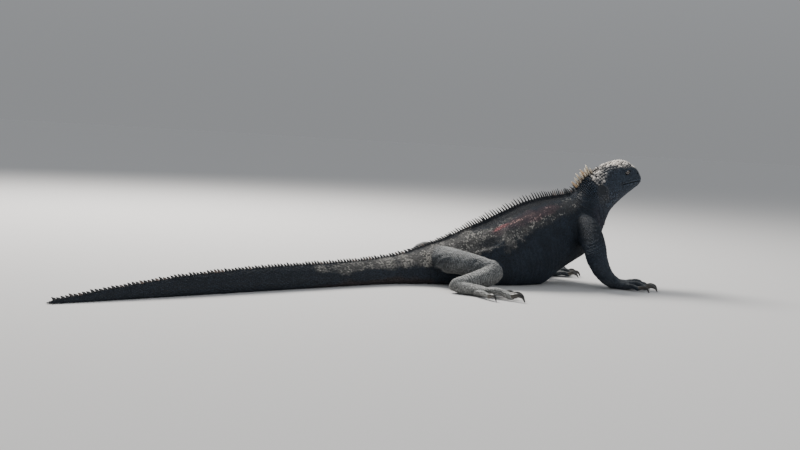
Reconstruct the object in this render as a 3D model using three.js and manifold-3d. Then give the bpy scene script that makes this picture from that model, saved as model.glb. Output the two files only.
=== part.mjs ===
// A life-size marine iguana at rest on its belly and tail, with its chest raised on straight forelegs and its
// head up.
// Millimetres. +X runs forward along the trunk, +Y to the animal's left, +Z up, and the floor is z = 0.
// The origin is on the floor under the belly.
import * as THREE from "three";
import { mergeVertices } from "three/addons/utils/BufferGeometryUtils.js";
import Module from "manifold-3d";

const wasm = await Module();
wasm.setup();

// Driving dimensions
const GAP = 0.3; // between pieces that touch
const VENT_X = -140; // where the tail begins
const TAIL_LENGTH = 615;
const TAIL_TURN = THREE.MathUtils.degToRad(18.4); // the tail's heading to the right of the trunk's
const TAIL_TURN_SHARE = 0.18; // of the tail's length, over which it turns
const HEAD_PITCH = THREE.MathUtils.degToRad(28); // the jaw line above the level
const HEAD_ORIGIN = [180, 150]; // x and z of the head's own origin, low in the back of the skull
const BODY_SIDES = 18;

// Materials
const skin = (color, roughness) => new THREE.MeshStandardMaterial({ color, roughness, metalness: 0 });
const MATERIALS = {
  trunk: skin(0x2b2c2e, 0.85),
  tail: skin(0x26282b, 0.85),
  limb: skin(0x4a4b47, 0.8),
  head: skin(0x5a5852, 0.85),
  claw: skin(0x16130f, 0.35),
  eye: skin(0x1a120b, 0.1),
};

// Seeded random numbers in 0..1
function randomFrom(seed) {
  let state = seed;
  return () => {
    state = (state * 1664525 + 1013904223) % 4294967296;
    return state / 4294967296;
  };
}

// Smooth interpolation of rows of numbers, each with its own place along the line
function rowAt(rows, places, at) {
  const last = rows.length - 1;
  let i = 0;
  while (i < last - 1 && at > places[i + 1]) i += 1;
  const span = places[i + 1] - places[i];
  const t = THREE.MathUtils.clamp((at - places[i]) / span, 0, 1);
  const slope = (n, k) => {
    const a = Math.max(n - 1, 0);
    const b = Math.min(n + 1, last);
    return (rows[b][k] - rows[a][k]) / (places[b] - places[a]);
  };
  const [t2, t3] = [t * t, t * t * t];
  return rows[i].map(
    (v, k) =>
      (2 * t3 - 3 * t2 + 1) * v +
      (t3 - 2 * t2 + t) * span * slope(i, k) +
      (3 * t2 - 2 * t3) * rows[i + 1][k] +
      (t3 - t2) * span * slope(i + 1, k),
  );
}

// Solids
function solidOf(geometry) {
  const bare = geometry.clone();
  bare.deleteAttribute("normal");
  bare.deleteAttribute("uv");
  const merged = mergeVertices(bare, 1e-4);
  const vertProperties = merged.attributes.position.array;
  const make = (triVerts) => new wasm.Manifold(new wasm.Mesh({ numProp: 3, vertProperties, triVerts }));
  const triVerts = new Uint32Array(merged.index.array);
  const made = make(triVerts);
  return made.volume() > 0 ? made : make(triVerts.reverse());
}

function geometryOf(solid) {
  const mesh = solid.getMesh();
  const positions = new Float32Array(mesh.vertProperties);
  const geometry = new THREE.BufferGeometry()
    .setAttribute("position", new THREE.BufferAttribute(positions, 3))
    .setIndex(new THREE.BufferAttribute(mesh.triVerts, 1));
  geometry.computeVertexNormals();
  return geometry;
}

const joined = (solids) => wasm.Manifold.union(solids);

function largest(solid) {
  return solid.decompose().reduce((a, b) => (b.volume() > a.volume() ? b : a));
}

// The piece of a cut solid whose middle lies nearest a point
function pieceNear(pieces, point) {
  const away = (s) => {
    const { min, max } = s.boundingBox();
    return Math.hypot(...point.toArray().map((v, k) => v - (min[k] + max[k]) / 2));
  };
  return pieces.reduce((a, b) => (away(b) < away(a) ? b : a));
}

// A closed skin over rings of points, with a point in front of the first ring and behind the last
function loft(rings, start, end) {
  const sides = rings[0].length;
  const points = [...rings.flat(), start, end];
  const index = [];
  for (let r = 0; r < rings.length - 1; r += 1)
    for (let k = 0; k < sides; k += 1) {
      const [a, b] = [r * sides + k, r * sides + ((k + 1) % sides)];
      index.push(a, b, b + sides, a, b + sides, a + sides);
    }
  const [first, tail] = [points.length - 2, points.length - 1];
  const lastRing = (rings.length - 1) * sides;
  for (let k = 0; k < sides; k += 1) {
    index.push(first, (k + 1) % sides, k);
    index.push(tail, lastRing + k, lastRing + ((k + 1) % sides));
  }
  const geometry = new THREE.BufferGeometry().setFromPoints(points);
  geometry.setIndex(index);
  return solidOf(geometry);
}

const middle = (ring) => ring.reduce((sum, p) => sum.add(p), new THREE.Vector3()).divideScalar(ring.length);

// A thin slab that parts a solid at a point, square to a direction
function slab(at, normal, size) {
  const box = new THREE.BoxGeometry(size, size, GAP);
  const upright = new THREE.Vector3(0, 0, 1);
  const turn = new THREE.Quaternion().setFromUnitVectors(upright, normal.clone().normalize());
  box.applyMatrix4(new THREE.Matrix4().compose(at, turn, new THREE.Vector3(1, 1, 1)));
  return solidOf(box);
}

// Sections of the trunk and neck. Each has the x and z of its ridge and of its underside, its half width,
// how far down it is widest, and how square its upper and lower halves are, where 2 is an ellipse.
const TRUNK = [
  [-140, 56.5, -138, -3, 33, 0.62, 1.9, 2.4],
  [-106, 68, -96, -6, 43, 0.62, 1.9, 2.4],
  [-70, 83, -55, -7, 50, 0.63, 1.9, 2.4],
  [-35, 96, -10, -8, 56, 0.63, 1.95, 2.4],
  [0, 111.5, 35, -7, 59, 0.62, 2, 2.3],
  [35, 127, 72, -2, 58, 0.6, 2, 2.2],
  [68, 136.5, 100, 17, 54, 0.57, 2, 2.1],
  [92, 141, 134, 35, 49, 0.54, 2, 2],
  [112, 145, 162, 51, 43, 0.52, 2, 2],
  [131, 152, 185, 76, 37, 0.5, 2, 2],
];
// Sections of the neck's front and of the head in the head's own frame, as above
const HEAD = [
  [-13, 35, -13, -52, 34, 0.5, 2, 2],
  [-1, 37.5, 2, -38.5, 33.5, 0.5, 2, 2.1],
  [12, 36.5, 17, -31, 33.5, 0.52, 2.1, 2.2],
  [25, 37, 31, -27, 33, 0.55, 2.3, 2.3],
  [38, 36.8, 45, -24, 31.5, 0.57, 2.5, 2.4],
  [50, 34.5, 57, -22.5, 29, 0.58, 2.6, 2.5],
  [61, 32, 66, -22, 26, 0.58, 2.6, 2.5],
  [70.5, 27.2, 74, -21.5, 23.5, 0.58, 2.5, 2.5],
  [79, 19.8, 80, -20.5, 20.5, 0.57, 2.4, 2.4],
  [85, 10.3, 85, -18.5, 16, 0.55, 2.3, 2.3],
  [87.5, 1.5, 87.5, -14.5, 10, 0.5, 2, 2],
];
const SNOUT_TIP = [88.5, -7.5];

const headPoint = (x, y, z) =>
  new THREE.Vector3(
    HEAD_ORIGIN[0] + x * Math.cos(HEAD_PITCH) - z * Math.sin(HEAD_PITCH),
    y,
    HEAD_ORIGIN[1] + x * Math.sin(HEAD_PITCH) + z * Math.cos(HEAD_PITCH),
  );

const headRows = HEAD.map(([topX, topZ, lowX, lowZ, ...rest]) => {
  const [top, low] = [headPoint(topX, 0, topZ), headPoint(lowX, 0, lowZ)];
  return [top.x, top.z, low.x, low.z, ...rest];
});
const FRONT_ROWS = [...TRUNK, ...headRows];
const FRONT_PLACES = FRONT_ROWS.reduce((places, row, i) => {
  if (i === 0) return [0];
  const before = FRONT_ROWS[i - 1];
  const [dx, dz] = [row[0] + row[2] - before[0] - before[2], row[1] + row[3] - before[1] - before[3]];
  return [...places, places[i - 1] + Math.hypot(dx, dz) / 2];
}, []);
const FRONT_LENGTH = FRONT_PLACES[FRONT_PLACES.length - 1];
const HEAD_PLACE = FRONT_PLACES[TRUNK.length]; // where the head's first section is

// The tail's middle line on the floor, and its heading, at a share of its length
function tailLine(share) {
  const steps = 60;
  const at = new THREE.Vector3(VENT_X, 0, 0);
  const turned = (u) => TAIL_TURN * THREE.MathUtils.smoothstep(u, 0, TAIL_TURN_SHARE);
  for (let i = 0; i < steps; i += 1) {
    const heading = turned(((i + 0.5) / steps) * share);
    const stride = (TAIL_LENGTH * share) / steps;
    at.add(new THREE.Vector3(-Math.cos(heading), -Math.sin(heading), 0).multiplyScalar(stride));
  }
  const heading = turned(share);
  return { at, back: new THREE.Vector3(-Math.cos(heading), -Math.sin(heading), 0) };
}
// Sections of the tail: the share of its length, the height of its ridge and its half width
const TAIL = [
  [0, 56.5, 33],
  [0.06, 45, 28],
  [0.14, 38, 23.5],
  [0.25, 34.5, 19],
  [0.4, 33, 15.5],
  [0.55, 30.5, 12],
  [0.7, 25, 9],
  [0.85, 15.5, 6],
  [0.95, 7.5, 3.5],
  [1, 3.5, 1.6],
];

// One section of the body at a place in mm ahead of the vent, or behind it where the place is negative
function sectionAt(place) {
  if (place >= 0) {
    const [topX, topZ, lowX, lowZ, half, level, roof, keel] = rowAt(FRONT_ROWS, FRONT_PLACES, place);
    const side = new THREE.Vector3(0, 1, 0);
    return {
      top: new THREE.Vector3(topX, 0, topZ),
      low: new THREE.Vector3(lowX, 0, lowZ),
      side, half, level, roof, keel,
    };
  }
  const share = -place / TAIL_LENGTH;
  const { at, back } = tailLine(share);
  const settle = THREE.MathUtils.smoothstep(share, 0, 0.12);
  const [, height, half] = rowAt(TAIL, TAIL.map(([at0]) => at0), share);
  return {
    top: at.clone().setZ(height),
    low: at.clone().setZ(-3 + 1.6 * settle),
    side: new THREE.Vector3(back.y, -back.x, 0),
    half,
    level: 0.62,
    roof: 1.9 - 0.2 * settle,
    keel: 2.4,
  };
}

// A point of the body's surface, at an angle from the ridge round to the left
function bodyPoint(section, angle, grow = 0) {
  const { top, low, side, half, level, roof, keel } = section;
  const down = low.clone().sub(top);
  const height = down.length();
  down.divideScalar(height);
  const [s, c] = [Math.sin(angle), Math.cos(angle)];
  const power = 2 / (c >= 0 ? roof : keel);
  const reach = (c >= 0 ? height * level : height * (1 - level)) + grow;
  const out = Math.sign(s) * Math.abs(s) ** power * (half + grow);
  const up = Math.sign(c) * Math.abs(c) ** power * reach;
  const point = top.clone().addScaledVector(down, height * level - up).addScaledVector(side, out);
  return point.setZ(Math.max(point.z, grow > 0 ? -1 : 0));
}

function bodyRing(place, grow) {
  const section = sectionAt(place);
  const angle = (k) => (2 * Math.PI * k) / BODY_SIDES;
  return Array.from({ length: BODY_SIDES }, (_, k) => bodyPoint(section, angle(k), grow));
}

const TAIL_CUTS = [-TAIL_LENGTH * 0.33, -TAIL_LENGTH * 0.66];
const NECK_PLACE = FRONT_PLACES[8]; // where the neck leaves the shoulders
const TUFT_START = (FRONT_PLACES[9] + FRONT_PLACES[10]) / 2 - 2; // where the tall crest of the nape starts
const TUFT_END = FRONT_PLACES[11] + 2; // where it ends
const TAIL_RINGS = 12;
const TRUNK_RINGS = 14;
const HEAD_RINGS = 14;
const TAIL_LAST = 0.985; // the share of the tail at its last ring

function bodyLoft(grow = 0) {
  const places = [];
  for (let i = TAIL_RINGS; i > 0; i -= 1) places.push((-TAIL_LENGTH * TAIL_LAST * i) / TAIL_RINGS);
  for (let i = 0; i < TRUNK_RINGS; i += 1) places.push((HEAD_PLACE * i) / TRUNK_RINGS);
  for (let i = 0; i <= HEAD_RINGS; i += 1)
    places.push(HEAD_PLACE + (FRONT_LENGTH - HEAD_PLACE) * Math.sin((Math.PI / 2) * (i / HEAD_RINGS)));
  const tip = tailLine(1).at.setZ(1.5);
  return loft(places.map((p) => bodyRing(p, grow)), tip, headPoint(SNOUT_TIP[0] + grow, 0, SNOUT_TIP[1]));
}

const body = bodyLoft();
const bodyGrown = bodyLoft(GAP + 0.05);

// The direction of the ridge, forward
const ridgeAlong = (place) => sectionAt(place + 2).top.sub(sectionAt(place - 2).top).normalize();

// Crest spines: flat tapered points along the ridge that lean back, sunk well into the ridge
function spine(place, height, length, thickness, lean, sideways = 0) {
  const { top, low, side } = sectionAt(place);
  const along = ridgeAlong(place);
  const up = new THREE.Vector3().crossVectors(along, side);
  if (up.z < 0) up.negate();
  const sunk = top.clone().lerp(low, Math.min((height * 0.8 + 1.5) / top.distanceTo(low), 0.35));
  const at = (share) =>
    top
      .clone()
      .addScaledVector(up, height * share)
      .addScaledVector(along, -lean * height * share ** 1.5)
      .addScaledVector(side, sideways * height * share);
  const ring = (centre, wide, thick) =>
    [0, 1, 2, 3].map((k) => {
      const turn = (Math.PI / 2) * k;
      return centre
        .clone()
        .addScaledVector(along, (length / 2) * wide * Math.cos(turn))
        .addScaledVector(side, (thickness / 2) * thick * Math.sin(turn));
    });
  return loft([ring(sunk, 0.95, 1), ring(at(0.5), 0.62, 0.7)], sunk, at(1));
}

// Rows of the crest: where each row starts and ends along the body, its spacing and height at both ends, how
// long a spine's base is for its spacing, and how far it leans back for its height
const TAIL_ROW = [-TAIL_LENGTH * 0.975, -TAIL_LENGTH * 0.04];
const CREST = [
  { from: TAIL_ROW[0], to: TAIL_ROW[1], pitch: [5.6, 7], height: [2.4, 5.6], length: 0.95, lean: 0.75 },
  { from: -TAIL_LENGTH * 0.034, to: 52, pitch: [5.6, 5.2], height: [4.2, 5], length: 0.85, lean: 0.45 },
  { from: 57, to: 118, pitch: [5.1, 5], height: [6.5, 14], length: 0.8, lean: 0.3 },
  { from: 122.5, to: TUFT_START - 4, pitch: [4.6, 4.7], height: [14.5, 11.5], length: 0.8, lean: 0.15 },
  { from: TUFT_START, to: TUFT_END, pitch: [4.5, 4.3], height: [19, 16], length: 1, lean: -0.1 },
  { from: TUFT_END + 4.5, to: TUFT_END + 15, pitch: [4.4, 4.2], height: [11, 7], length: 0.8, lean: 0 },
];

const SPINE_THICKNESS = 2.2;

function crestSpines() {
  const random = randomFrom(11);
  const cuts = [...TAIL_CUTS, 0, NECK_PLACE, HEAD_PLACE];
  const spines = [];
  for (const { from, to, pitch, height, length, lean } of CREST)
    for (let place = from; place <= to; ) {
      const t = (place - from) / (to - from);
      const step = THREE.MathUtils.lerp(pitch[0], pitch[1], t);
      const tall = THREE.MathUtils.lerp(height[0], height[1], t) * (0.86 + 0.28 * random());
      const sideways = 0.16 * (random() - 0.5);
      if (cuts.every((cut) => Math.abs(place - cut) > step * 0.5 + 1))
        spines.push({ place, solid: spine(place, tall, step * length, SPINE_THICKNESS, lean, sideways) });
      place += step;
    }
  return spines;
}

// Cuts across the trunk
function crossSlab(place, size) {
  const { top, low, side } = sectionAt(place);
  const up = top.clone().sub(low).normalize();
  return slab(top.clone().add(low).multiplyScalar(0.5), new THREE.Vector3().crossVectors(side, up), size);
}
const cutBody = [0, ...TAIL_CUTS, NECK_PLACE, HEAD_PLACE].reduce(
  (solid, place) => solid.subtract(crossSlab(place, 300)),
  body,
);
const axialPieces = cutBody.decompose();
const spines = crestSpines();
function axial(from, to) {
  const { top, low } = sectionAt((from + to) / 2);
  const piece = pieceNear(axialPieces, top.clone().add(low).multiplyScalar(0.5));
  const own = spines.filter(({ place }) => place > from && place < to).map(({ solid }) => solid);
  return largest(joined([piece, ...own]));
}

const root = new THREE.Group();
function addNode(name, solid, material) {
  const mesh = new THREE.Mesh(geometryOf(solid), material);
  mesh.name = name;
  root.add(mesh);
}

// A tube of elliptical rings along a smooth line. Each station is x, y, z, half width and half height.
function limbPath(stations) {
  const points = stations.map(([x, y, z]) => new THREE.Vector3(x, y, z));
  const curve = new THREE.CatmullRomCurve3(points, false, "catmullrom", 0.5);
  const places = stations.map((_, i) => i / (stations.length - 1));
  return (t) => {
    const [, , , wide, high] = rowAt(stations, places, t);
    const along = curve.getTangent(t);
    const side = new THREE.Vector3().crossVectors(new THREE.Vector3(0, 0, 1), along).normalize();
    const up = new THREE.Vector3().crossVectors(along, side);
    return { at: curve.getPoint(t), along, side, up, wide, high };
  };
}

function ringOf({ at, side, up, wide, high }, sides, grow) {
  return Array.from({ length: sides }, (_, k) => {
    const turn = (2 * Math.PI * k) / sides;
    const point = at
      .clone()
      .addScaledVector(side, (wide + grow) * Math.cos(turn))
      .addScaledVector(up, (high + grow) * Math.sin(turn));
    return point.setZ(Math.max(point.z, grow > 0 ? -1 : 0));
  });
}

function tube(stations, count, sides, round = 0.6, grow = 0) {
  const path = limbPath(stations);
  const rings = Array.from({ length: count + 1 }, (_, i) => ringOf(path(i / count), sides, grow));
  const cap = (t, ring, sign) => {
    const { along, high } = path(t);
    const end = middle(ring).addScaledVector(along, sign * (high * round + grow));
    return end.setZ(Math.max(end.z, grow > 0 ? -1 : 0));
  };
  return loft(rings, cap(0, rings[0], -1), cap(1, rings[count], 1));
}

// Legs. The stations run from inside the body to the wrist or ankle, with the elbow or knee at the fourth.
const LEGS = {
  fore_right: {
    stations: [
      [128, -22, 98, 17, 24],
      [132, -52, 90, 19, 25],
      [129, -78, 72, 18, 20],
      [126, -91, 54, 17.5, 17],
      [137, -89, 36, 15, 15],
      [155, -82, 20, 14, 12],
      [172, -77, 11, 14, 10],
    ],
    foot: { length: 28, turn: -20 },
    kind: "fore",
  },
  fore_left: {
    stations: [
      [126, 22, 98, 17, 24],
      [124, 52, 88, 19, 25],
      [106, 78, 68, 18, 20],
      [94, 90, 50, 17.5, 17.5],
      [104, 86, 34, 15.5, 16],
      [119, 78, 20, 14, 12.5],
      [134, 72, 11, 14, 10],
    ],
    foot: { length: 28, turn: 8 },
    kind: "fore",
  },
  hind_right: {
    stations: [
      [-122, -18, 40, 24, 22],
      [-112, -46, 40, 24, 20],
      [-90, -78, 37, 20, 17],
      [-68, -100, 31, 17, 16],
      [-84, -110, 24, 16.5, 15],
      [-114, -112, 17, 13.5, 12],
      [-138, -113, 12, 11, 10],
    ],
    foot: { length: 46, turn: -46 },
    kind: "hind",
  },
  hind_left: {
    stations: [
      [-122, 18, 40, 24, 22],
      [-110, 46, 40, 24, 20],
      [-86, 80, 37, 20, 17],
      [-64, 103, 31, 17, 16],
      [-80, 113, 24, 16.5, 15],
      [-108, 115, 17, 13.5, 12],
      [-132, 116, 12, 11, 10],
    ],
    foot: { length: 46, turn: 52 },
    kind: "hind",
  },
};

// Digits: the first is on the inner side. Each has its root across the palm, its turn outward in degrees,
// its length, its half width and how high its knuckle arches.
const DIGITS = {
  fore: [
    [-11, -38, 25, 4.6, 11],
    [-6, -17, 34, 5, 15],
    [0, 0, 38, 5.2, 17],
    [6, 16, 36, 5, 15],
    [11, 38, 27, 4.6, 11],
  ],
  hind: [
    [-9, -30, 27, 4.4, 10],
    [-5, -14, 39, 4.8, 12],
    [0, -1, 51, 5.2, 14],
    [5, 11, 60, 5.4, 15],
    [9, 40, 40, 4.6, 11],
  ],
};
const CLAW = { fore: 19, hind: 18 }; // how far a middling claw reaches
const CLAW_SHARE = 0.55; // of a digit's line, where its claw starts

for (const [name, { stations, foot, kind }] of Object.entries(LEGS)) {
  const side = name.split("_")[1];
  const outward = side === "right" ? -1 : 1;
  const names = kind === "fore" ? ["upper_arm", "forearm", "hand"] : ["thigh", "shank", "foot"];
  const upper = (grow) => tube(stations.slice(0, 4), 6, 10, 0.6, grow);
  const lower = (grow) => tube(stations.slice(3), 6, 10, 0.5, grow);
  const apart = GAP + 0.05;
  const [first, second] = [upper(0).subtract(bodyGrown), lower(0).subtract(bodyGrown).subtract(upper(apart))];
  addNode(`${names[0]}_${side}`, largest(first), MATERIALS.limb);
  addNode(`${names[1]}_${side}`, largest(second), MATERIALS.limb);

  const wrist = new THREE.Vector3(...stations[stations.length - 1].slice(0, 3));
  const heading = THREE.MathUtils.degToRad(foot.turn);
  const forward = new THREE.Vector3(Math.cos(heading), Math.sin(heading), 0);
  const across = new THREE.Vector3(-forward.y, forward.x, 0).multiplyScalar(outward);
  const at = (f, a, z) => wrist.clone().setZ(z).addScaledVector(forward, f).addScaledVector(across, a);
  const row = (p, wide, high) => [p.x, p.y, p.z, wide, high];
  const palmHeight = kind === "fore" ? 9 : 9.5;
  const palmHalf = kind === "fore" ? 15 : 13;
  const palm = tube(
    [
      row(at(-4, 0, wrist.z), palmHalf * 0.8, 9.5),
      row(at(foot.length * 0.35, 0, palmHeight * 0.9), palmHalf * 0.92, palmHeight),
      row(at(foot.length * 0.75, 0, palmHeight * 0.8), palmHalf * 1.05, palmHeight * 0.9),
      row(at(foot.length, 0, palmHeight * 0.75), palmHalf * 0.95, palmHeight * 0.75),
    ],
    5, 12,
  );
  const digits = [];
  DIGITS[kind].forEach(([root0, turn, length, half, arch], i) => {
    const angle = heading + outward * THREE.MathUtils.degToRad(turn);
    const out = new THREE.Vector3(Math.cos(angle), Math.sin(angle), 0);
    const start = at(foot.length * (kind === "fore" ? 0.7 : 0.8) - Math.abs(root0) * 0.4, root0, 0);
    const on = (d, z) => start.clone().addScaledVector(out, d).setZ(z);
    const reach = CLAW[kind] * (0.8 + length / 200);
    const line = [
      row(on(0, half), half * 0.9, half * 0.9),
      row(on(length * 0.32, arch - half * 0.9), half, half * 0.95),
      row(on(length * 0.62, arch - half * 0.8), half * 0.92, half * 0.92),
      row(on(length * 0.9, half * 1.2), half * 0.88, half * 0.88),
      row(on(length, half * 1.4), half * 0.74, half * 0.78),
      row(on(length + reach * 0.38, half * 1.75), half * 0.54, half * 0.64),
      row(on(length + reach * 0.74, half * 1.35), half * 0.36, half * 0.46),
      row(on(length + reach * 0.94, 0.8), half * 0.12, half * 0.15),
    ];
    const quick = limbPath(line)(CLAW_SHARE);
    const parted = tube(line, 7, 6, 0.5).subtract(slab(quick.at, quick.along, half * 4)).decompose();
    digits.push(pieceNear(parted, on(length * 0.4, half)));
    const claw = pieceNear(parted, on(length + reach * 0.5, half));
    addNode(`claw_${kind}_${side}_${i + 1}`, claw, MATERIALS.claw);
  });
  const whole = joined([palm, ...digits]).subtract(lower(apart)).subtract(bodyGrown);
  addNode(`${names[2]}_${side}`, largest(whole), MATERIALS.limb);
}

// An ellipsoid in the head's own frame, on the left or the right side
function headBulb([x, y, z], [rx, ry, rz], side, wide = 12, high = 8) {
  const bulb = new THREE.SphereGeometry(1, wide, high).rotateX(Math.PI / 2).scale(rx, ry, rz);
  return solidOf(bulb.rotateY(-HEAD_PITCH).translate(...headPoint(x, side * y, z).toArray()));
}

// Eyes in their lids, under a brow ridge; nostrils; the jowls and the eardrums behind them
const EYE = { at: [57, 22, 15.5], radius: 6.4 };
const BROW = { at: [54, 18.5, 24.5], size: [15, 8.5, 5.5] };
const LID = { size: [9.6, 7.6, 8.2], slit: [6.6, 5, 3.7] };
const NOSTRIL = { at: [77.5, 15.5, 3], rim: [5.2, 4.2, 4.6], hole: [2.2, 3, 1.8] };
const JOWL = { at: [1, 22, 5], size: [14, 13.5, 15] };
const EARDRUM = { at: [-5, 38, 12], size: [4, 6, 6] };
const FEATURES_ON = [BROW, { at: EYE.at, size: LID.size }, { at: NOSTRIL.at, size: NOSTRIL.rim }, JOWL];
const SLIT_AT = [EYE.at[0], EYE.at[1] + 6.6, EYE.at[2] - 0.3];
const NOSTRIL_AT = [NOSTRIL.at[0] + 1, NOSTRIL.at[1] + 4.4, NOSTRIL.at[2]];
const socket = [1, 1, 1].map((v) => v * (EYE.radius + GAP));

// Conical scutes of the crown, in staggered rows: their spacing, how far they reach down the sides of the
// crown and of the snout, their heights at the middle and at the rim, and the share of that on the snout
const SCUTES = { pitch: 8.4, crownSide: 28.5, snoutSide: 13, middle: 4.6, rim: 3.3, snoutShare: 0.7 };
const SCUTE_ROWS = [8, 98]; // where the rows start and end, from the head's first section
const SNOUT_RISE = [52, 88]; // where the crown turns into the snout

function crownScutes() {
  const random = randomFrom(5);
  const scutes = [];
  for (let i = 0; SCUTE_ROWS[0] + i * SCUTES.pitch * 0.87 < SCUTE_ROWS[1]; i += 1) {
    const offset = SCUTE_ROWS[0] + i * SCUTES.pitch * 0.87;
    const snout = THREE.MathUtils.smoothstep(offset, ...SNOUT_RISE);
    const reach = THREE.MathUtils.lerp(SCUTES.crownSide, SCUTES.snoutSide, snout);
    const place = HEAD_PLACE + offset;
    const section = sectionAt(place);
    const arc = (angle) => angle * section.half * 1.05;
    for (let k = -4; k <= 4; k += 1) {
      const angle = ((k + (i % 2) / 2) * SCUTES.pitch) / (section.half * 1.05);
      if (Math.abs(arc(angle)) > reach) continue;
      const base = bodyPoint(section, angle);
      const ahead = bodyPoint(sectionAt(place + 1), angle).sub(base).normalize();
      const beside = bodyPoint(section, angle + 0.05).sub(base).normalize();
      const out = new THREE.Vector3().crossVectors(beside, ahead).normalize();
      if (out.z < 0) out.negate();
      const middling = THREE.MathUtils.lerp(SCUTES.middle, SCUTES.rim, Math.abs(arc(angle)) / reach);
      const height = middling * THREE.MathUtils.lerp(1, SCUTES.snoutShare, snout) * (0.75 + 0.5 * random());
      const radius = SCUTES.pitch * 0.43;
      const ring = (up, r) =>
        [0, 1, 2, 3].map((n) => {
          const turn = (Math.PI / 2) * n + i;
          return base
            .clone()
            .addScaledVector(out, up)
            .addScaledVector(ahead, r * Math.cos(turn))
            .addScaledVector(beside, r * Math.sin(turn));
        });
      const tip = base.clone().addScaledVector(out, height).addScaledVector(ahead, -0.15 * height);
      const root = base.clone().addScaledVector(out, -2.5);
      scutes.push(loft([ring(-2.5, radius * 1.5)], root, tip));
    }
  }
  return scutes;
}

// The mouth line from the front of the snout back to its corner, then down behind the jaw
const MOUTH = [
  [100, -17],
  [86, -13.5],
  [78, -11],
  [68, -7.5],
  [56, -3.5],
  [45, 0],
  [37, -8],
  [31, -40],
];
function jawCut() {
  const half = GAP / 2;
  const edge = (sign) =>
    MOUTH.map(([x, z], i) => {
      const [px, pz] = MOUTH[Math.max(i - 1, 0)];
      const [nx, nz] = MOUTH[Math.min(i + 1, MOUTH.length - 1)];
      const shift = (sign * half) / Math.hypot(nx - px, nz - pz);
      return new THREE.Vector2(x - shift * (nz - pz), z + shift * (nx - px));
    });
  const shape = new THREE.Shape([...edge(1), ...edge(-1).reverse()]);
  const strip = new THREE.ExtrudeGeometry(shape, { depth: 120, bevelEnabled: false });
  const place = strip.attributes.position;
  for (let i = 0; i < place.count; i += 1) {
    const p = headPoint(place.getX(i), place.getZ(i) - 60, place.getY(i));
    place.setXYZ(i, p.x, p.y, p.z);
  }
  return solidOf(strip);
}

// The point of the head's left side that lies at x and z in the head's own frame
function cheekPoint(x, z) {
  const target = headPoint(x, 0, z);
  let best = null;
  for (let place = HEAD_PLACE; place < FRONT_LENGTH; place += 1)
    for (let angle = 0.5; angle < 2.8; angle += 0.02) {
      const point = bodyPoint(sectionAt(place), angle);
      const away = Math.hypot(point.x - target.x, point.z - target.z);
      if (!best || away < best.away) best = { point, away };
    }
  return best.point;
}

// Lips: rounded rims above and below the mouth line, from the corner of the mouth to near the snout's tip
const LIP = { from: 44, to: 80, rise: 1.5, radius: 1.6 };
function lips() {
  const line = MOUTH.filter(([x]) => x >= LIP.from && x <= LIP.to);
  return [-1, 1].flatMap((rim) => {
    const points = line.map(([x, z]) => cheekPoint(x, z + rim * LIP.rise));
    return [-1, 1].map((side) =>
      tube(points.map((p) => [p.x, p.y * side * 0.985, p.z, LIP.radius, LIP.radius]), 6, 5),
    );
  });
}

const sides = [1, -1];
const raised = sides.flatMap((side) => FEATURES_ON.map(({ at, size }) => headBulb(at, size, side)));
const carved = sides.flatMap((side) => [
  headBulb(EYE.at, socket, side, 12, 8),
  headBulb(SLIT_AT, LID.slit, side, 12, 8),
  headBulb(NOSTRIL_AT, NOSTRIL.hole, side, 10, 6),
  headBulb(EARDRUM.at, EARDRUM.size, side),
]);
const headWhole = joined([axial(HEAD_PLACE, FRONT_LENGTH), ...raised, ...crownScutes(), ...lips()]);
const headNeckCut = crossSlab(HEAD_PLACE, 300);
const shaped = joined(carved);
const headPieces = headWhole
  .subtract(shaped)
  .subtract(headNeckCut)
  .subtract(jawCut())
  .decompose()
  .sort((a, b) => b.volume() - a.volume());
addNode("head", headPieces[0], MATERIALS.head);
addNode("lower_jaw", headPieces[1], MATERIALS.head);
const eyeball = [1, 1, 1].map((v) => v * EYE.radius);
addNode("eye_left", headBulb(EYE.at, eyeball, 1), MATERIALS.eye);
addNode("eye_right", headBulb(EYE.at, eyeball, -1), MATERIALS.eye);

addNode("tail_tip", axial(-TAIL_LENGTH, TAIL_CUTS[1]), MATERIALS.tail);
addNode("tail_middle", axial(TAIL_CUTS[1], TAIL_CUTS[0]), MATERIALS.tail);
addNode("tail_base", axial(TAIL_CUTS[0], 0), MATERIALS.tail);
addNode("torso", axial(0, NECK_PLACE), MATERIALS.trunk);
addNode("neck", axial(NECK_PLACE, HEAD_PLACE), MATERIALS.trunk);

export default root;
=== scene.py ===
# A life-size marine iguana at rest on its belly and tail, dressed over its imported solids.
# The tables are in millimetres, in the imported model's frame: +X forward, +Y to the animal's left, +Z up.
import math

import bpy
import numpy as np
from mathutils import Matrix, Vector, noise
from mathutils.bvhtree import BVHTree
from mathutils.kdtree import KDTree


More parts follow.
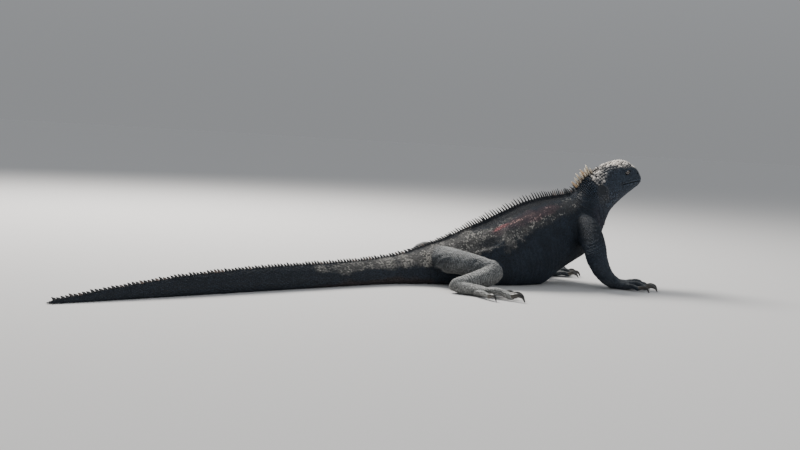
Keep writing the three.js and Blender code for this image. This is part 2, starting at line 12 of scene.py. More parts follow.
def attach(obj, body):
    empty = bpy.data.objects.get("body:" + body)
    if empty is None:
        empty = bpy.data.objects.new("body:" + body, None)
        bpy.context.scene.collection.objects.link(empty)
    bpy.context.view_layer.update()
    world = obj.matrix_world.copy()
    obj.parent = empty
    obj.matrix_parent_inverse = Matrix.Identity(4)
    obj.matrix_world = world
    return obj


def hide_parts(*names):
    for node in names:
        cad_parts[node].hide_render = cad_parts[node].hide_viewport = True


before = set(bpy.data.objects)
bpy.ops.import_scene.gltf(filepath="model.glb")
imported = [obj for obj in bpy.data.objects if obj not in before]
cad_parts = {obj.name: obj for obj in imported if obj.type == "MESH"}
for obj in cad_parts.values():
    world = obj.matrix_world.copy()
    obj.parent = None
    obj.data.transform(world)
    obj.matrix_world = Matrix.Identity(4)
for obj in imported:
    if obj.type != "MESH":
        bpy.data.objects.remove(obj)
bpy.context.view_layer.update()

# The skin
# One hide over the whole animal, from the lips to the tip of the tail and the roots of the claws. It lies
# under the scales, is slack on the flank and the throat, and wrinkles where the legs leave the trunk.
MM = 0.001
SKIN_DEPTH = 0.55  # how far under the solids' surface the skin lies, for the scales on it
VENT_X = -140
TAIL_LENGTH = 615
TAIL_TURN = math.radians(18.4)
TAIL_TURN_SHARE = 0.18
HEAD_PITCH = math.radians(28)
HEAD_ORIGIN = (180, 150)

# Sections of the trunk and neck: x and z of the ridge and of the underside, half width, how far down they
# are widest, and how square the upper and lower halves are, where 2 is an ellipse
TRUNK = [
    (-140, 56.5, -138, -3, 33, 0.62, 1.9, 2.4),
    (-106, 68, -96, -6, 43, 0.62, 1.9, 2.4),
    (-70, 83, -55, -7, 50, 0.63, 1.9, 2.4),
    (-35, 96, -10, -8, 56, 0.63, 1.95, 2.4),
    (0, 111.5, 35, -7, 59, 0.62, 2, 2.3),
    (35, 127, 72, -2, 58, 0.6, 2, 2.2),
    (68, 136.5, 100, 17, 54, 0.57, 2, 2.1),
    (92, 141, 134, 35, 49, 0.54, 2, 2),
    (112, 145, 162, 51, 43, 0.52, 2, 2),
    (131, 152, 185, 76, 37, 0.5, 2, 2),
]
# Sections of the neck's front and of the head in the head's own frame, as above
HEAD = [
    (-13, 35, -13, -52, 34, 0.5, 2, 2),
    (-1, 37.5, 2, -38.5, 33.5, 0.5, 2, 2.1),
    (12, 36.5, 17, -31, 33.5, 0.52, 2.1, 2.2),
    (25, 37, 31, -27, 33, 0.55, 2.3, 2.3),
    (38, 36.8, 45, -24, 31.5, 0.57, 2.5, 2.4),
    (50, 34.5, 57, -22.5, 29, 0.58, 2.6, 2.5),
    (61, 32, 66, -22, 26, 0.58, 2.6, 2.5),
    (70.5, 27.2, 74, -21.5, 23.5, 0.58, 2.5, 2.5),
    (79, 19.8, 80, -20.5, 20.5, 0.57, 2.4, 2.4),
    (85, 10.3, 85, -18.5, 16, 0.55, 2.3, 2.3),
    (87.5, 1.5, 87.5, -14.5, 10, 0.5, 2, 2),
]
SNOUT_TIP = (88.5, -7.5)
# Sections of the tail: the share of its length, the height of its ridge and its half width
TAIL = [
    (0, 56.5, 33),
    (0.06, 45, 28),
    (0.14, 38, 23.5),
    (0.25, 34.5, 19),
    (0.4, 33, 15.5),
    (0.55, 30.5, 12),
    (0.7, 25, 9),
    (0.85, 15.5, 6),
    (0.95, 7.5, 3.5),
    (1, 3.5, 1.6),
]


def smooth(x, low, high):
    """0 at low and 1 at high, with no corner at either."""
    t = np.clip((x - low) / (high - low), 0, 1)
    return t * t * (3 - 2 * t)


def unit(v):
    """Vectors of length 1 along the given ones."""
    return v / np.maximum(np.linalg.norm(v, axis=-1, keepdims=True), 1e-9)


def rows_at(rows, places, at):
    """Smooth interpolation of rows of numbers, each at its own place along a line."""
    rows = np.array(rows, float)
    places = np.array(places, float)
    at = np.clip(at, places[0], places[-1])
    i = np.clip(np.searchsorted(places, at, side="right") - 1, 0, len(places) - 2)
    n = np.arange(len(places))
    before = np.maximum(n - 1, 0)
    after = np.minimum(n + 1, len(n) - 1)
    slope = (rows[after] - rows[before]) / (places[after] - places[before])[:, None]
    span = (places[i + 1] - places[i])[:, None]
    t = (at - places[i])[:, None] / span
    start = (2 * t**3 - 3 * t**2 + 1) * rows[i] + (t**3 - 2 * t**2 + t) * span * slope[i]
    end = (3 * t**2 - 2 * t**3) * rows[i + 1] + (t**3 - t**2) * span * slope[i + 1]
    return start + end


def head_point(x, y, z):
    """A point of the head's own frame, whose x runs along the jaw, in the model's frame."""
    cos, sin = math.cos(HEAD_PITCH), math.sin(HEAD_PITCH)
    x, y, z = np.broadcast_arrays(*(np.asarray(v, float) for v in (x, y, z)))
    return np.stack([HEAD_ORIGIN[0] + x * cos - z * sin, y, HEAD_ORIGIN[1] + x * sin + z * cos], -1)


head = np.array(HEAD, float)
head_top = head_point(head[:, 0], 0, head[:, 1])
head_low = head_point(head[:, 2], 0, head[:, 3])
head_rows = np.column_stack([head_top[:, [0, 2]], head_low[:, [0, 2]], head[:, 4:]])
FRONT_ROWS = np.vstack([TRUNK, head_rows])
front_steps = np.diff(FRONT_ROWS[:, :2] + FRONT_ROWS[:, 2:4], axis=0)
FRONT_PLACES = np.append(0, np.cumsum(np.hypot(front_steps[:, 0], front_steps[:, 1]) / 2))
FRONT_LENGTH = FRONT_PLACES[-1]
HEAD_PLACE = FRONT_PLACES[len(TRUNK)]

TAIL_STEPS = 600
tail_shares = np.linspace(0, 1, TAIL_STEPS + 1)
tail_heading = TAIL_TURN * smooth(tail_shares, 0, TAIL_TURN_SHARE)
tail_back = -np.column_stack([np.cos(tail_heading), np.sin(tail_heading)])
tail_steps = (tail_back[1:] + tail_back[:-1]) / 2 * TAIL_LENGTH / TAIL_STEPS
tail_line = np.vstack([[0, 0], np.cumsum(tail_steps, axis=0)]) + [VENT_X, 0]


def sections(place):
    """The body's sections at places in mm ahead of the vent, or behind it where they are negative."""
    place = np.atleast_1d(np.asarray(place, float))
    front = rows_at(FRONT_ROWS, FRONT_PLACES, place)
    share = np.clip(-place / TAIL_LENGTH, 0, 1)
    line = np.column_stack([np.interp(share, tail_shares, tail_line[:, k]) for k in (0, 1)])
    heading = np.interp(share, tail_shares, tail_heading)
    settle = smooth(share, 0, 0.12)
    tail = rows_at(TAIL, [row[0] for row in TAIL], share)
    ahead = (place >= 0)[:, None]
    none = np.zeros_like(place)
    front_top = np.column_stack([front[:, 0], none, front[:, 1]])
    front_low = np.column_stack([front[:, 2], none, front[:, 3]])
    tail_low = np.column_stack([line, -3 + 1.6 * settle])
    tail_side = np.column_stack([-np.sin(heading), np.cos(heading), none])
    tail_shape = np.column_stack([tail[:, 2], none + 0.62, 1.9 - 0.2 * settle, none + 2.4])
    return {
        "top": np.where(ahead, front_top, np.column_stack([line, tail[:, 1]])),
        "low": np.where(ahead, front_low, tail_low),
        "side": np.where(ahead, [0, 1, 0], tail_side),
        "shape": np.where(ahead, front[:, 4:], tail_shape),
    }


def body_points(place, angle, grow=0.0):
    """Points of the body's surface, at angles from the ridge round to the left."""
    place, angle = np.broadcast_arrays(np.asarray(place, float), np.asarray(angle, float))
    section = sections(place.ravel())
    down = section["low"] - section["top"]
    height = np.linalg.norm(down, axis=1)
    half, level, roof, keel = section["shape"].T
    s, c = np.sin(angle.ravel()), np.cos(angle.ravel())
    power = 2 / np.where(c >= 0, roof, keel)
    reach = np.where(c >= 0, height * level, height * (1 - level)) + grow
    out = np.sign(s) * np.abs(s) ** power * (half + grow)
    up = np.sign(c) * np.abs(c) ** power * reach
    points = section["top"] + unit(down) * (height * level - up)[:, None] + section["side"] * out[:, None]
    points[:, 2] = np.maximum(points[:, 2], -grow)
    return points.reshape(*place.shape, 3)


def closed_tube(rings, start, end):
    """Points and faces of a skin over rings of points, closed at a point at either end."""
    count, sides = rings.shape[:2]
    points = np.vstack([rings.reshape(-1, 3), start, end])
    here = np.arange(count * sides).reshape(count, sides)
    right = np.roll(here, -1, axis=1)
    quads = np.stack([here[:-1], right[:-1], right[1:], here[1:]], -1).reshape(-1, 4).tolist()
    caps = [[len(points) - 2, b, a] for a, b in zip(here[0], right[0])]
    caps += [[len(points) - 1, a, b] for a, b in zip(here[-1], right[-1])]
    return points, quads + caps


def limb_line(stations, t):
    """Places, directions and half sizes along a line of stations of x, y, z, half width, half height."""
    places = np.linspace(0, 1, len(stations))
    rows = rows_at(stations, places, t)
    along = unit(rows_at(stations, places, t + 0.004)[:, :3] - rows_at(stations, places, t - 0.004)[:, :3])
    side = unit(np.cross([0, 0, 1], along))
    return rows[:, :3], along, side, np.cross(along, side), rows[:, 3], rows[:, 4]


def limb_points(stations, t, angle, grow=0.0):
    """Points of a limb's surface, at angles round its line."""
    t, angle = np.broadcast_arrays(np.asarray(t, float), np.asarray(angle, float))
    at, _, side, up, wide, high = limb_line(stations, t.ravel())
    across = ((wide + grow) * np.cos(angle.ravel()))[:, None]
    over = ((high + grow) * np.sin(angle.ravel()))[:, None]
    points = at + side * across + up * over
    points[:, 2] = np.maximum(points[:, 2], -grow)
    return points.reshape(*t.shape, 3)


END_TURNS = (0.45, 0.85, 1.2)  # how far round each ring of a limb's rounded end lies, in radians


def limb_tube(stations, start=0.0, end=1.0, rings=40, sides=28, rounding=0.6, grow=0.0):
    """A tube along a line of stations with rounded ends."""
    turn = np.linspace(0, 2 * math.pi, sides, endpoint=False)
    body = limb_points(stations, np.linspace(start, end, rings)[:, None], turn[None], grow)
    ends, tips = [], []
    for t, ring, sign in ((start, body[0], -1), (end, body[-1], 1)):
        _, along, _, _, _, high = limb_line(stations, np.array([t]))
        reach = along[0] * sign * (high[0] * rounding + grow)
        middle = ring.mean(0)
        ends.append([middle + (ring - middle) * math.cos(a) + reach * math.sin(a) for a in END_TURNS])
        tips.append(middle + reach)
    points, faces = closed_tube(np.stack([*ends[0][::-1], *body, *ends[1]]), *tips)
    points[:, 2] = np.maximum(points[:, 2], -grow)
    return points, faces


# Legs. The stations run from inside the body to the wrist or ankle, with the elbow or knee at the fourth.
LEGS = {
    "fore_right": {
        "stations": [
            (128, -22, 98, 17, 24),
            (132, -52, 90, 19, 25),
            (129, -78, 72, 18, 20),
            (126, -91, 54, 17.5, 17),
            (137, -89, 36, 15, 15),
            (155, -82, 20, 14, 12),
            (172, -77, 11, 14, 10),
        ],
        "palm": (28, -20),
    },
    "fore_left": {
        "stations": [
            (126, 22, 98, 17, 24),
            (124, 52, 88, 19, 25),
            (106, 78, 68, 18, 20),
            (94, 90, 50, 17.5, 17.5),
            (104, 86, 34, 15.5, 16),
            (119, 78, 20, 14, 12.5),
            (134, 72, 11, 14, 10),
        ],
        "palm": (28, 8),
    },
    "hind_right": {
        "stations": [
            (-122, -18, 40, 24, 22),
            (-112, -46, 40, 24, 20),
            (-90, -78, 37, 20, 17),
            (-68, -100, 31, 17, 16),
            (-84, -110, 24, 16.5, 15),
            (-114, -112, 17, 13.5, 12),
            (-138, -113, 12, 11, 10),
        ],
        "palm": (46, -46),
    },
    "hind_left": {
        "stations": [
            (-122, 18, 40, 24, 22),
            (-110, 46, 40, 24, 20),
            (-86, 80, 37, 20, 17),
            (-64, 103, 31, 17, 16),
            (-80, 113, 24, 16.5, 15),
            (-108, 115, 17, 13.5, 12),
            (-132, 116, 12, 11, 10),
        ],
        "palm": (46, 52),
    },
}
# Digits from the inner side: root across the palm, degrees outward, length, half width, knuckle's height
DIGITS = {
    "fore": [
        (-11, -38, 25, 4.6, 11),
        (-6, -17, 34, 5, 15),
        (0, 0, 38, 5.2, 17),
        (6, 16, 36, 5, 15),
        (11, 38, 27, 4.6, 11),
    ],
    "hind": [
        (-9, -30, 27, 4.4, 10),
        (-5, -14, 39, 4.8, 12),
        (0, -1, 51, 5.2, 14),
        (5, 11, 60, 5.4, 15),
        (9, 40, 40, 4.6, 11),
    ],
}
PALM = {"fore": (15, 9, 0.7), "hind": (13, 9.5, 0.8)}  # half width, half height, where along it digits start
CLAW = {"fore": 19, "hind": 18}  # how far a middling claw reaches
CLAW_SHARE = 0.55  # of a digit's line, where its claw starts

palms, digits = {}, {}
for name, leg in LEGS.items():
    kind, hand = name.split("_")
    outward = 1 if hand == "left" else -1
    length, turn = leg["palm"]
    wrist = np.array(leg["stations"][-1][:3])
    heading = math.radians(turn)
    forward = np.array([math.cos(heading), math.sin(heading), 0])
    across = outward * np.array([-forward[1], forward[0], 0])
    half, high, root_share = PALM[kind]

    def palm_row(ahead, z, wide, tall):
        x, y, _ = wrist + forward * ahead
        return (x, y, z, wide, tall)

    palms[name] = [
        palm_row(-4, wrist[2], half * 0.8, 9.5),
        palm_row(length * 0.35, high * 0.9, half * 0.92, high),
        palm_row(length * 0.75, high * 0.8, half * 1.05, high * 0.9),
        palm_row(length, high * 0.75, half * 0.95, high * 0.75),
    ]
    for i, (root, spread, reach, thick, arch) in enumerate(DIGITS[kind]):
        angle = heading + outward * math.radians(spread)
        out = np.array([math.cos(angle), math.sin(angle), 0])
        start = wrist + forward * (length * root_share - abs(root) * 0.4) + across * root
        claw = CLAW[kind] * (0.8 + reach / 200)
        rows = [
            (0, thick, thick * 0.9, thick * 0.9),
            (reach * 0.32, arch - thick * 0.9, thick, thick * 0.95),
            (reach * 0.62, arch - thick * 0.8, thick * 0.92, thick * 0.92),
            (reach * 0.9, thick * 1.2, thick * 0.88, thick * 0.88),
            (reach, thick * 1.4, thick * 0.74, thick * 0.78),
            (reach + claw * 0.38, thick * 1.75, thick * 0.54, thick * 0.64),
            (reach + claw * 0.74, thick * 1.35, thick * 0.36, thick * 0.46),
            (reach + claw * 0.94, 0.8, thick * 0.12, thick * 0.15),
        ]
        digits[name, i + 1] = [(*(start + out * d)[:2], z, wide, tall) for d, z, wide, tall in rows]

# Forms of the head on its right and left: place in the head's frame and half sizes
BROW = ((54, 18.5, 24.5), (15, 8.5, 5.5))
LID = ((57, 22, 15.5), (9.4, 7.9, 8))
NOSTRIL_RIM = ((77.5, 15.5, 3), (5, 4, 4.4))
JOWL = ((1, 22, 5), (14, 13.5, 15))


def head_bulb(at, size, side, grow=0.0, wide=28, high=18):
    """Points and faces of an ellipsoid that lies in the head's own frame."""
    turn = np.linspace(2 * math.pi, 0, wide, endpoint=False)
    tilt = np.linspace(0, math.pi, high + 1)[1:-1]
    sizes = np.array(size) + grow
    ball = np.stack([
        np.outer(np.sin(tilt), np.cos(turn)),
        np.outer(np.sin(tilt), np.sin(turn)),
        np.outer(np.cos(tilt), np.ones(wide)),
    ], -1) * sizes
    x, y, z = at
    rings = head_point(x + ball[..., 0], side * y + ball[..., 1], z + ball[..., 2])
    return closed_tube(rings, head_point(x, side * y, z + sizes[2]), head_point(x, side * y, z - sizes[2]))


def new_object(name, data):
    """An object of the scene with the given mesh, light or camera."""
    made = bpy.data.objects.new(name, data)
    bpy.context.scene.collection.objects.link(made)
    return made


def mesh_object(name, points, faces):
    """An object with a mesh whose points are given in mm."""
    mesh = bpy.data.meshes.new(name)
    mesh.from_pydata((np.asarray(points) * MM).tolist(), [], [list(map(int, f)) for f in faces])
    return new_object(name, mesh)


def joined_parts(parts):
    """The points and faces of several parts as those of one."""
    points, faces, count = [], [], 0
    for part_points, part_faces in parts:
        points.append(part_points)
        faces += [[i + count for i in face] for face in part_faces]
        count += len(part_points)
    return np.vstack(points), faces


def with_modifiers_applied(obj):
    """Puts the shape that its modifiers give into the object's own mesh."""
    graph = bpy.context.evaluated_depsgraph_get()
    shaped = bpy.data.meshes.new_from_object(obj.evaluated_get(graph))
    old = obj.data
    obj.modifiers.clear()
    obj.data = shaped
    bpy.data.meshes.remove(old)
    shaped.name = obj.name


def read_vectors(items, key="vector"):
    """The vectors that a mesh holds for each of its items, a row each."""
    values = np.empty(len(items) * 3, np.float32)
    items.foreach_get(key, values)
    return values.reshape(-1, 3)


def mesh_points(mesh):
    """A mesh's points in mm."""
    return read_vectors(mesh.vertices, "co").astype(float) / MM


def move_points(mesh, points):
    """Puts a mesh's points where the given ones are, in mm."""
    mesh.vertices.foreach_set("co", (points * MM).astype(np.float32).ravel())
    mesh.update()


def write_attribute(mesh, name, values):
    """Keeps a number or a vector for each of a mesh's points."""
    values = np.asarray(values, np.float32)
    kind, key = ("FLOAT", "value") if values.ndim == 1 else ("FLOAT_VECTOR", "vector")
    mesh.attributes.new(name, kind, "POINT").data.foreach_set(key, values.ravel())


body_places = np.concatenate([
    np.linspace(-TAIL_LENGTH * 0.99, 0, 260, endpoint=False),
    np.linspace(0, HEAD_PLACE, 160, endpoint=False),
    HEAD_PLACE + (FRONT_LENGTH - HEAD_PLACE) * np.sin(np.linspace(0, math.pi / 2, 60)),
])
body_angles = np.linspace(-math.pi, math.pi, 96, endpoint=False)
body_grid = body_points(body_places[:, None], body_angles[None], -SKIN_DEPTH)
tail_end = np.array([*tail_line[-1], 1.5])
snout_end = head_point(SNOUT_TIP[0] - SKIN_DEPTH, 0, SNOUT_TIP[1])
flesh = [closed_tube(body_grid, tail_end, snout_end)]
limb_parts = []
for name, leg in LEGS.items():
    limb_parts.append(limb_tube(leg["stations"][:4], rounding=0.6, grow=-SKIN_DEPTH))
    limb_parts.append(limb_tube(leg["stations"][3:], rounding=0.5, grow=-SKIN_DEPTH))
    limb_parts.append(limb_tube(palms[name], rings=16, rounding=0.5, grow=-SKIN_DEPTH))
for line in digits.values():
    limb_parts.append(limb_tube(line, 0, CLAW_SHARE, 30, 16, rounding=0.7, grow=-SKIN_DEPTH))
for side in (-1, 1):
    for at, size in (BROW, LID, NOSTRIL_RIM, JOWL):
        flesh.append(head_bulb(at, size, side, -SKIN_DEPTH))

VOXEL = 1.0  # of the one hide that is laid over all these forms
skin = mesh_object("skin", *joined_parts(flesh + limb_parts))
remesh = skin.modifiers.new("one hide", "REMESH")
remesh.mode = "VOXEL"
remesh.voxel_size = VOXEL * MM
remesh.use_smooth_shade = True
with_modifiers_applied(skin)


def tree_of(points):
    """A tree in which the nearest of the points is found."""
    tree = KDTree(len(points))
    for i, point in enumerate(points.tolist()):
        tree.insert(point, i)
    tree.balance()
    return tree


def nearest(tree, points):
    """Which of the tree's points is nearest to each point, and how far it is."""
    found = [tree.find(point)[1:] for point in points.tolist()]
    return np.array([i for i, _ in found]), np.array([away for _, away in found])


body_tree = tree_of(body_grid.reshape(-1, 3))
limb_tree = tree_of(np.vstack([points for points, _ in limb_parts]))


def regions_of(points):
    """Place along the body in mm, angle from the ridge to the left, and distance from the body itself."""
    index, away = nearest(body_tree, points)
    row, column = index // len(body_angles), index % len(body_angles)
    off = points - body_grid[row, column]
    ahead = (np.minimum(row + 1, len(body_places) - 1), column)
    beside = (row, (column + 1) % len(body_angles))
    steps = (body_places[ahead[0]] - body_places[row], body_angles[1] - body_angles[0])
    moved = []
    for other, step in zip((ahead, beside), steps):
        way = body_grid[other] - body_grid[row, column]
        share = (off * way).sum(1) / np.maximum((way * way).sum(1), 1e-6)
        moved.append(np.clip(share, -0.6, 0.6) * step)
    return body_places[row] + moved[0], body_angles[column] + moved[1], away


WEIGHT_STEPS = 20  # how finely the weights of a smoothing are told apart


def smoothed(weights, rounds, factor=0.5):
    """Smooths the skin as much as the weights say."""
    group = skin.vertex_groups.new(name="smoothing")
    steps = np.round(np.clip(weights, 0, 1) * WEIGHT_STEPS).astype(int)
    for step in range(1, WEIGHT_STEPS + 1):
        members = np.nonzero(steps == step)[0].tolist()
        if members:
            group.add(members, step / WEIGHT_STEPS, "REPLACE")
    modifier = skin.modifiers.new("smoothing", "SMOOTH")
    modifier.vertex_group = group.name
    modifier.iterations = rounds
    modifier.factor = factor
    with_modifiers_applied(skin)
    skin.vertex_groups.clear()


points = mesh_points(skin.data)
_, _, off_body = regions_of(points)
_, off_limb = nearest(limb_tree, points)
HEAD_X = 175  # ahead of this the forms keep their edges
# The crease where a leg leaves the trunk is smoothed, and the shoulder's top more, to run into the neck
crease = (1 - smooth(off_body, 3, 15)) * (1 - smooth(off_limb, 3, 15))
smoothed(crease * (points[:, 0] < HEAD_X), 30)
shoulder = (1 - smooth(off_body, 12, 26)) * (1 - smooth(off_limb, 8, 20)) * smooth(points[:, 2], 60, 84)
smoothed(shoulder * (points[:, 0] < HEAD_X) * (points[:, 0] > 60), 90)
smoothed(np.ones(len(points)), 4)

# Folds and hollows of the hide, alike on the right and the left: points by place along the body and degrees
# from the ridge, then the half width and the height, which is negative for a hollow
FOLDS = [
    ([(76, 61), (100, 61), (122, 57), (134, 49), (139, 38)], 2.6, 2.6),
    ([(60, 52), (85, 50), (110, 46), (126, 36)], 10, -2.8),
    ([(60, 70), (90, 76), (112, 74)], 5, -1.6),
    ([(296, 42), (300, 56), (309, 68), (321, 76)], 2.4, 1.3),
    ([(304, 30), (311, 48), (320, 60), (331, 66)], 2.2, 1.1),
    ([(286, 50), (289, 66), (297, 80), (310, 92)], 2.6, 1.2),
    ([(330, 84), (325, 104), (322, 130)], 2.2, 1.2),
    ([(338, 90), (334, 112), (332, 138)], 2.0, 1.0),
    ([(318, 88), (312, 106), (311, 132)], 2.4, 1.1),
    ([(306, 90), (299, 108), (300, 134)], 2.6, 1.0),
    ([(244, 60), (240, 84), (243, 104)], 3.2, -1.2),
]
FLANK_WRINKLES = (128, 236, 8.5)  # from and to along the body, and their spacing
# The low ridge of hide that carries the crest: places along the body and how high it stands there
RIDGE = ((-60, 20, 90, 130, 262, 300, 325), (0, 0.8, 3.2, 4.4, 4.2, 2, 0))
RIDGE_HALF_WIDTH = 3.4
# Wrinkles of the thighs, as points in the model's frame with y alike on both sides, half width and height
THIGH_WRINKLES = [
    ([(-136, 31, 17), (-136, 41, 30), (-134, 53, 41), (-126, 62, 47)], 2.0, 1.7),
    ([(-129, 34, 14), (-129, 44, 27), (-127, 55, 37), (-120, 64, 44)], 2.6, -1.6),
    ([(-122, 42, 13), (-121, 52, 24), (-118, 62, 34)], 2.0, 1.2),
    ([(-114, 50, 14), (-113, 60, 24), (-110, 70, 33)], 2.4, -1.0),
    ([(-96, 95, 45), (-104, 92, 36), (-109, 81, 26)], 3.0, -1.6),
]
draw = np.random.default_rng(4)
for place in np.arange(*FLANK_WRINKLES):
    start = 66 + 16 * draw.random()
    bend = 7 * (draw.random() - 0.5)
    line = [(place, start), (place + bend, start + 22), (place - 3, start + 46)]
    FOLDS.append((line, 1.9, 0.35 + 0.4 * draw.random()))


def half_width(place):
    """Half the body's width at places along it."""
    return sections(place)["shape"][:, 0]


def line_distance(points, line):
    """How far points are from a line of straight stretches, in any number of dimensions."""
    line = np.asarray(line, float)
    least = np.full(len(points), 1e9)
    for a, b in zip(line[:-1], line[1:]):
        share = np.clip((points - a) @ (b - a) / ((b - a) @ (b - a)), 0, 1)
        least = np.minimum(least, np.linalg.norm(points - a - share[:, None] * (b - a), axis=1))
    return least


points = mesh_points(skin.data)
normals = read_vectors(skin.data.vertex_normals).astype(float)
place, angle, off_body = regions_of(points)
unrolled = np.column_stack([place, np.abs(angle) * half_width(place)])
on_body = 1 - smooth(off_body, 2, 7)
lift = np.zeros(len(points))
for line, width, height in FOLDS:
    line = np.array(line, float)
    line[:, 1] = np.radians(line[:, 1]) * half_width(line[:, 0])
    lift += on_body * height * np.exp(-(line_distance(unrolled, line) / width) ** 2)
lift += np.interp(place, *RIDGE) * np.exp(-(unrolled[:, 1] / RIDGE_HALF_WIDTH) ** 2)
folded_over = np.column_stack([points[:, 0], np.abs(points[:, 1]), points[:, 2]])
for line, width, height in THIGH_WRINKLES:
    lift += height * np.exp(-(line_distance(folded_over, line) / width) ** 2)

# The eardrum lies in a shallow hollow, and the hide is loose and creased where the legs bend
EARDRUM = ((-4, 30, 12), (8, 10))  # place in the head's frame, half length and half height


def head_frame(points):
    """Points of the model's frame in the head's own frame, with y alike on both sides."""
    x, z = points[:, 0] - HEAD_ORIGIN[0], points[:, 2] - HEAD_ORIGIN[1]
    cos, sin = math.cos(HEAD_PITCH), math.sin(HEAD_PITCH)
    return np.column_stack([x * cos + z * sin, np.abs(points[:, 1]), z * cos - x * sin])


def eardrum_share(points):
    """0 at the eardrum's middle and 1 at its edge."""
    (x, y, z), (length, height) = EARDRUM
    own = head_frame(points)
    return np.hypot((own[:, 0] - x) / length, (own[:, 2] - z) / height) + 9 * (own[:, 1] < y - 12)


lift -= 2.2 * (1 - smooth(eardrum_share(points), 0.55, 1.05))
# Where each leg's hide is creased, by the number of its station
CREASES = [
    ("hind_right", 3),
    ("hind_left", 3),
    ("fore_right", 3),
    ("fore_left", 3),
    ("hind_right", 5),
    ("hind_left", 5),
]
for leg, station in CREASES:
    stations = np.array(LEGS[leg]["stations"], float)
    joint = stations[station, :3]
    along = unit(stations[station + 1, :3] - joint)
    near = np.exp(-(np.linalg.norm(points - joint, axis=1) / 24) ** 2)
    lift += 0.45 * near * np.sin((points - joint) @ along * 1.5 + 1.2 * np.sin(points[:, 1] * 0.3))
wave = np.array([noise.noise(Vector(point)) for point in (points / 7).tolist()])
lift += 0.35 * wave * (1 + smooth(off_body, 3, 12))
move_points(skin.data, points + normals * lift[:, None])
smoothed(np.ones(len(points)), 1)

SKIN_TRIANGLES = 176000  # before the mouth and the openings are cut
thinning = skin.modifiers.new("thinning", "DECIMATE")
thinning.use_collapse_triangulate = True
thinning.ratio = min(1, SKIN_TRIANGLES / (2 * len(skin.data.polygons)))
with_modifiers_applied(skin)

# The mouth line runs round the snout from corner to corner, and the lids part and the nostrils open by holes
# Points of the mouth line from the corner forward, x and z in the head's frame
MOUTH = [
    (36, 2.2),
    (40, 1.3),
    (45, 0),
    (50, -1.6),
    (56, -3.5),
    (62, -5.6),
    (68, -7.8),
    (74, -10),
    (79, -11.8),
    (83, -13.2),
    (86, -14.2),
    (87.4, -14.6),
]
MOUTH_GROOVE = (3.2, 0.55)  # half depth and half height
SLIT = ((57, 28.6, 15.2), (7, 5.4, 3.9))  # place in the head's frame and half sizes, as for the nostril
NOSTRIL = ((78.5, 19.9, 3), (2.3, 3.4, 1.9))

snout_places = np.linspace(HEAD_PLACE + 20, FRONT_LENGTH, 240)
left_angles = np.radians(np.linspace(2, 178, 177))
snout_grid = body_points(snout_places[:, None], left_angles[None], -SKIN_DEPTH).reshape(-1, 3)
snout_flat = head_frame(snout_grid)


def cheek_points(flat):
    """Points of the head's left side that lie at x and z in the head's own frame."""
    away = [np.hypot(snout_flat[:, 0] - x, snout_flat[:, 2] - z) for x, z in flat]
    return snout_grid[[int(np.argmin(a)) for a in away]]


mouth_left = cheek_points(MOUTH)
mouth_front = head_point(SNOUT_TIP[0] - 0.5, 0, -14.8)
mouth_line = np.vstack([mouth_left, mouth_front, mouth_left[::-1] * [1, -1, 1]])
mouth_stations = [(*point, *MOUTH_GROOVE) for point in mouth_line]
cutters = [limb_tube(mouth_stations, 0, 1, 140, 12, rounding=1, grow=0)]
for side in (-1, 1):
    cutters += [head_bulb(*hole, side) for hole in (SLIT, NOSTRIL)]
cutter = mesh_object("openings", *joined_parts(cutters))
carving = skin.modifiers.new("openings", "BOOLEAN")
carving.operation = "DIFFERENCE"
carving.solver = "MANIFOLD"
carving.object = cutter
with_modifiers_applied(skin)
bpy.data.objects.remove(cutter)
skin.data.shade_smooth()

# Colours of the hide and of all that grows on it
# The animal is charcoal, painted darker and bluer as in sky-lit shade, with pale worn scales speckled over
# its rump and back under partly painted sunlight, a pink patch on the flank, grey legs with painted light on
# their tops, a purplish throat, and dried salt on its crown. Painted shade lies along the ridge, in the
# hollow before the thigh and on the shoulders, and a painted highlight on the edge of the flank's fold.


def paint(red, green, blue):
    """A colour given as on a screen, 0 to 255, as the shader needs it."""
    shares = [c / 255 for c in (red, green, blue)]
    return (*[s / 12.92 if s < 11 / 255 else ((s + 0.055) / 1.055) ** 2.4 for s in shares], 1)


def add(tree, kind, inputs=None, **settings):
    """A node of a tree with its settings, its plain values set and its other inputs linked."""
    made = tree.nodes.new(kind)
    for name, value in settings.items():
        setattr(made, name, value)
    for key, value in (inputs or {}).items():
        if isinstance(value, bpy.types.NodeSocket):
            tree.links.new(value, made.inputs[key])
        else:
            made.inputs[key].default_value = value
    return made


def group_of(name, kind, inputs, outputs):
    """A new node group with named inputs and outputs, and the nodes that stand for them inside it."""
    tree = bpy.data.node_groups.new(name, kind)
    for label, socket, *value in inputs:
        made = tree.interface.new_socket(label, in_out="INPUT", socket_type=socket)
        if value:
            made.default_value = value[0]
    for label, socket in outputs:
        tree.interface.new_socket(label, in_out="OUTPUT", socket_type=socket)
    return tree, tree.nodes.new("NodeGroupInput"), tree.nodes.new("NodeGroupOutput")


def math_of(tree, operation, *values):
    """The result of one operation on plain or linked values."""
    return add(tree, "ShaderNodeMath", dict(enumerate(values)), operation=operation).outputs[0]


def vector_of(tree, operation, inputs):
    """The node of one operation on vectors."""
    return add(tree, "ShaderNodeVectorMath", inputs, operation=operation)


def mapped(tree, value, low, high, to_low=0.0, to_high=1.0, kind="LINEAR"):
    """A value brought from one range to another, and kept inside it."""
    inputs = {"Value": value, "From Min": low, "From Max": high, "To Min": to_low, "To Max": to_high}
    return add(tree, "ShaderNodeMapRange", inputs, interpolation_type=kind).outputs[0]


def noise_of(tree, position, scale, detail=3.0):
    """Noise from 0 to 1, with its scale in waves to a metre."""
    return add(tree, "ShaderNodeTexNoise", {"Vector": position, "Scale": scale, "Detail": detail}).outputs[0]


def axes_of(tree, vector):
    """The three parts of a vector."""
    return add(tree, "ShaderNodeSeparateXYZ", {0: vector}).outputs


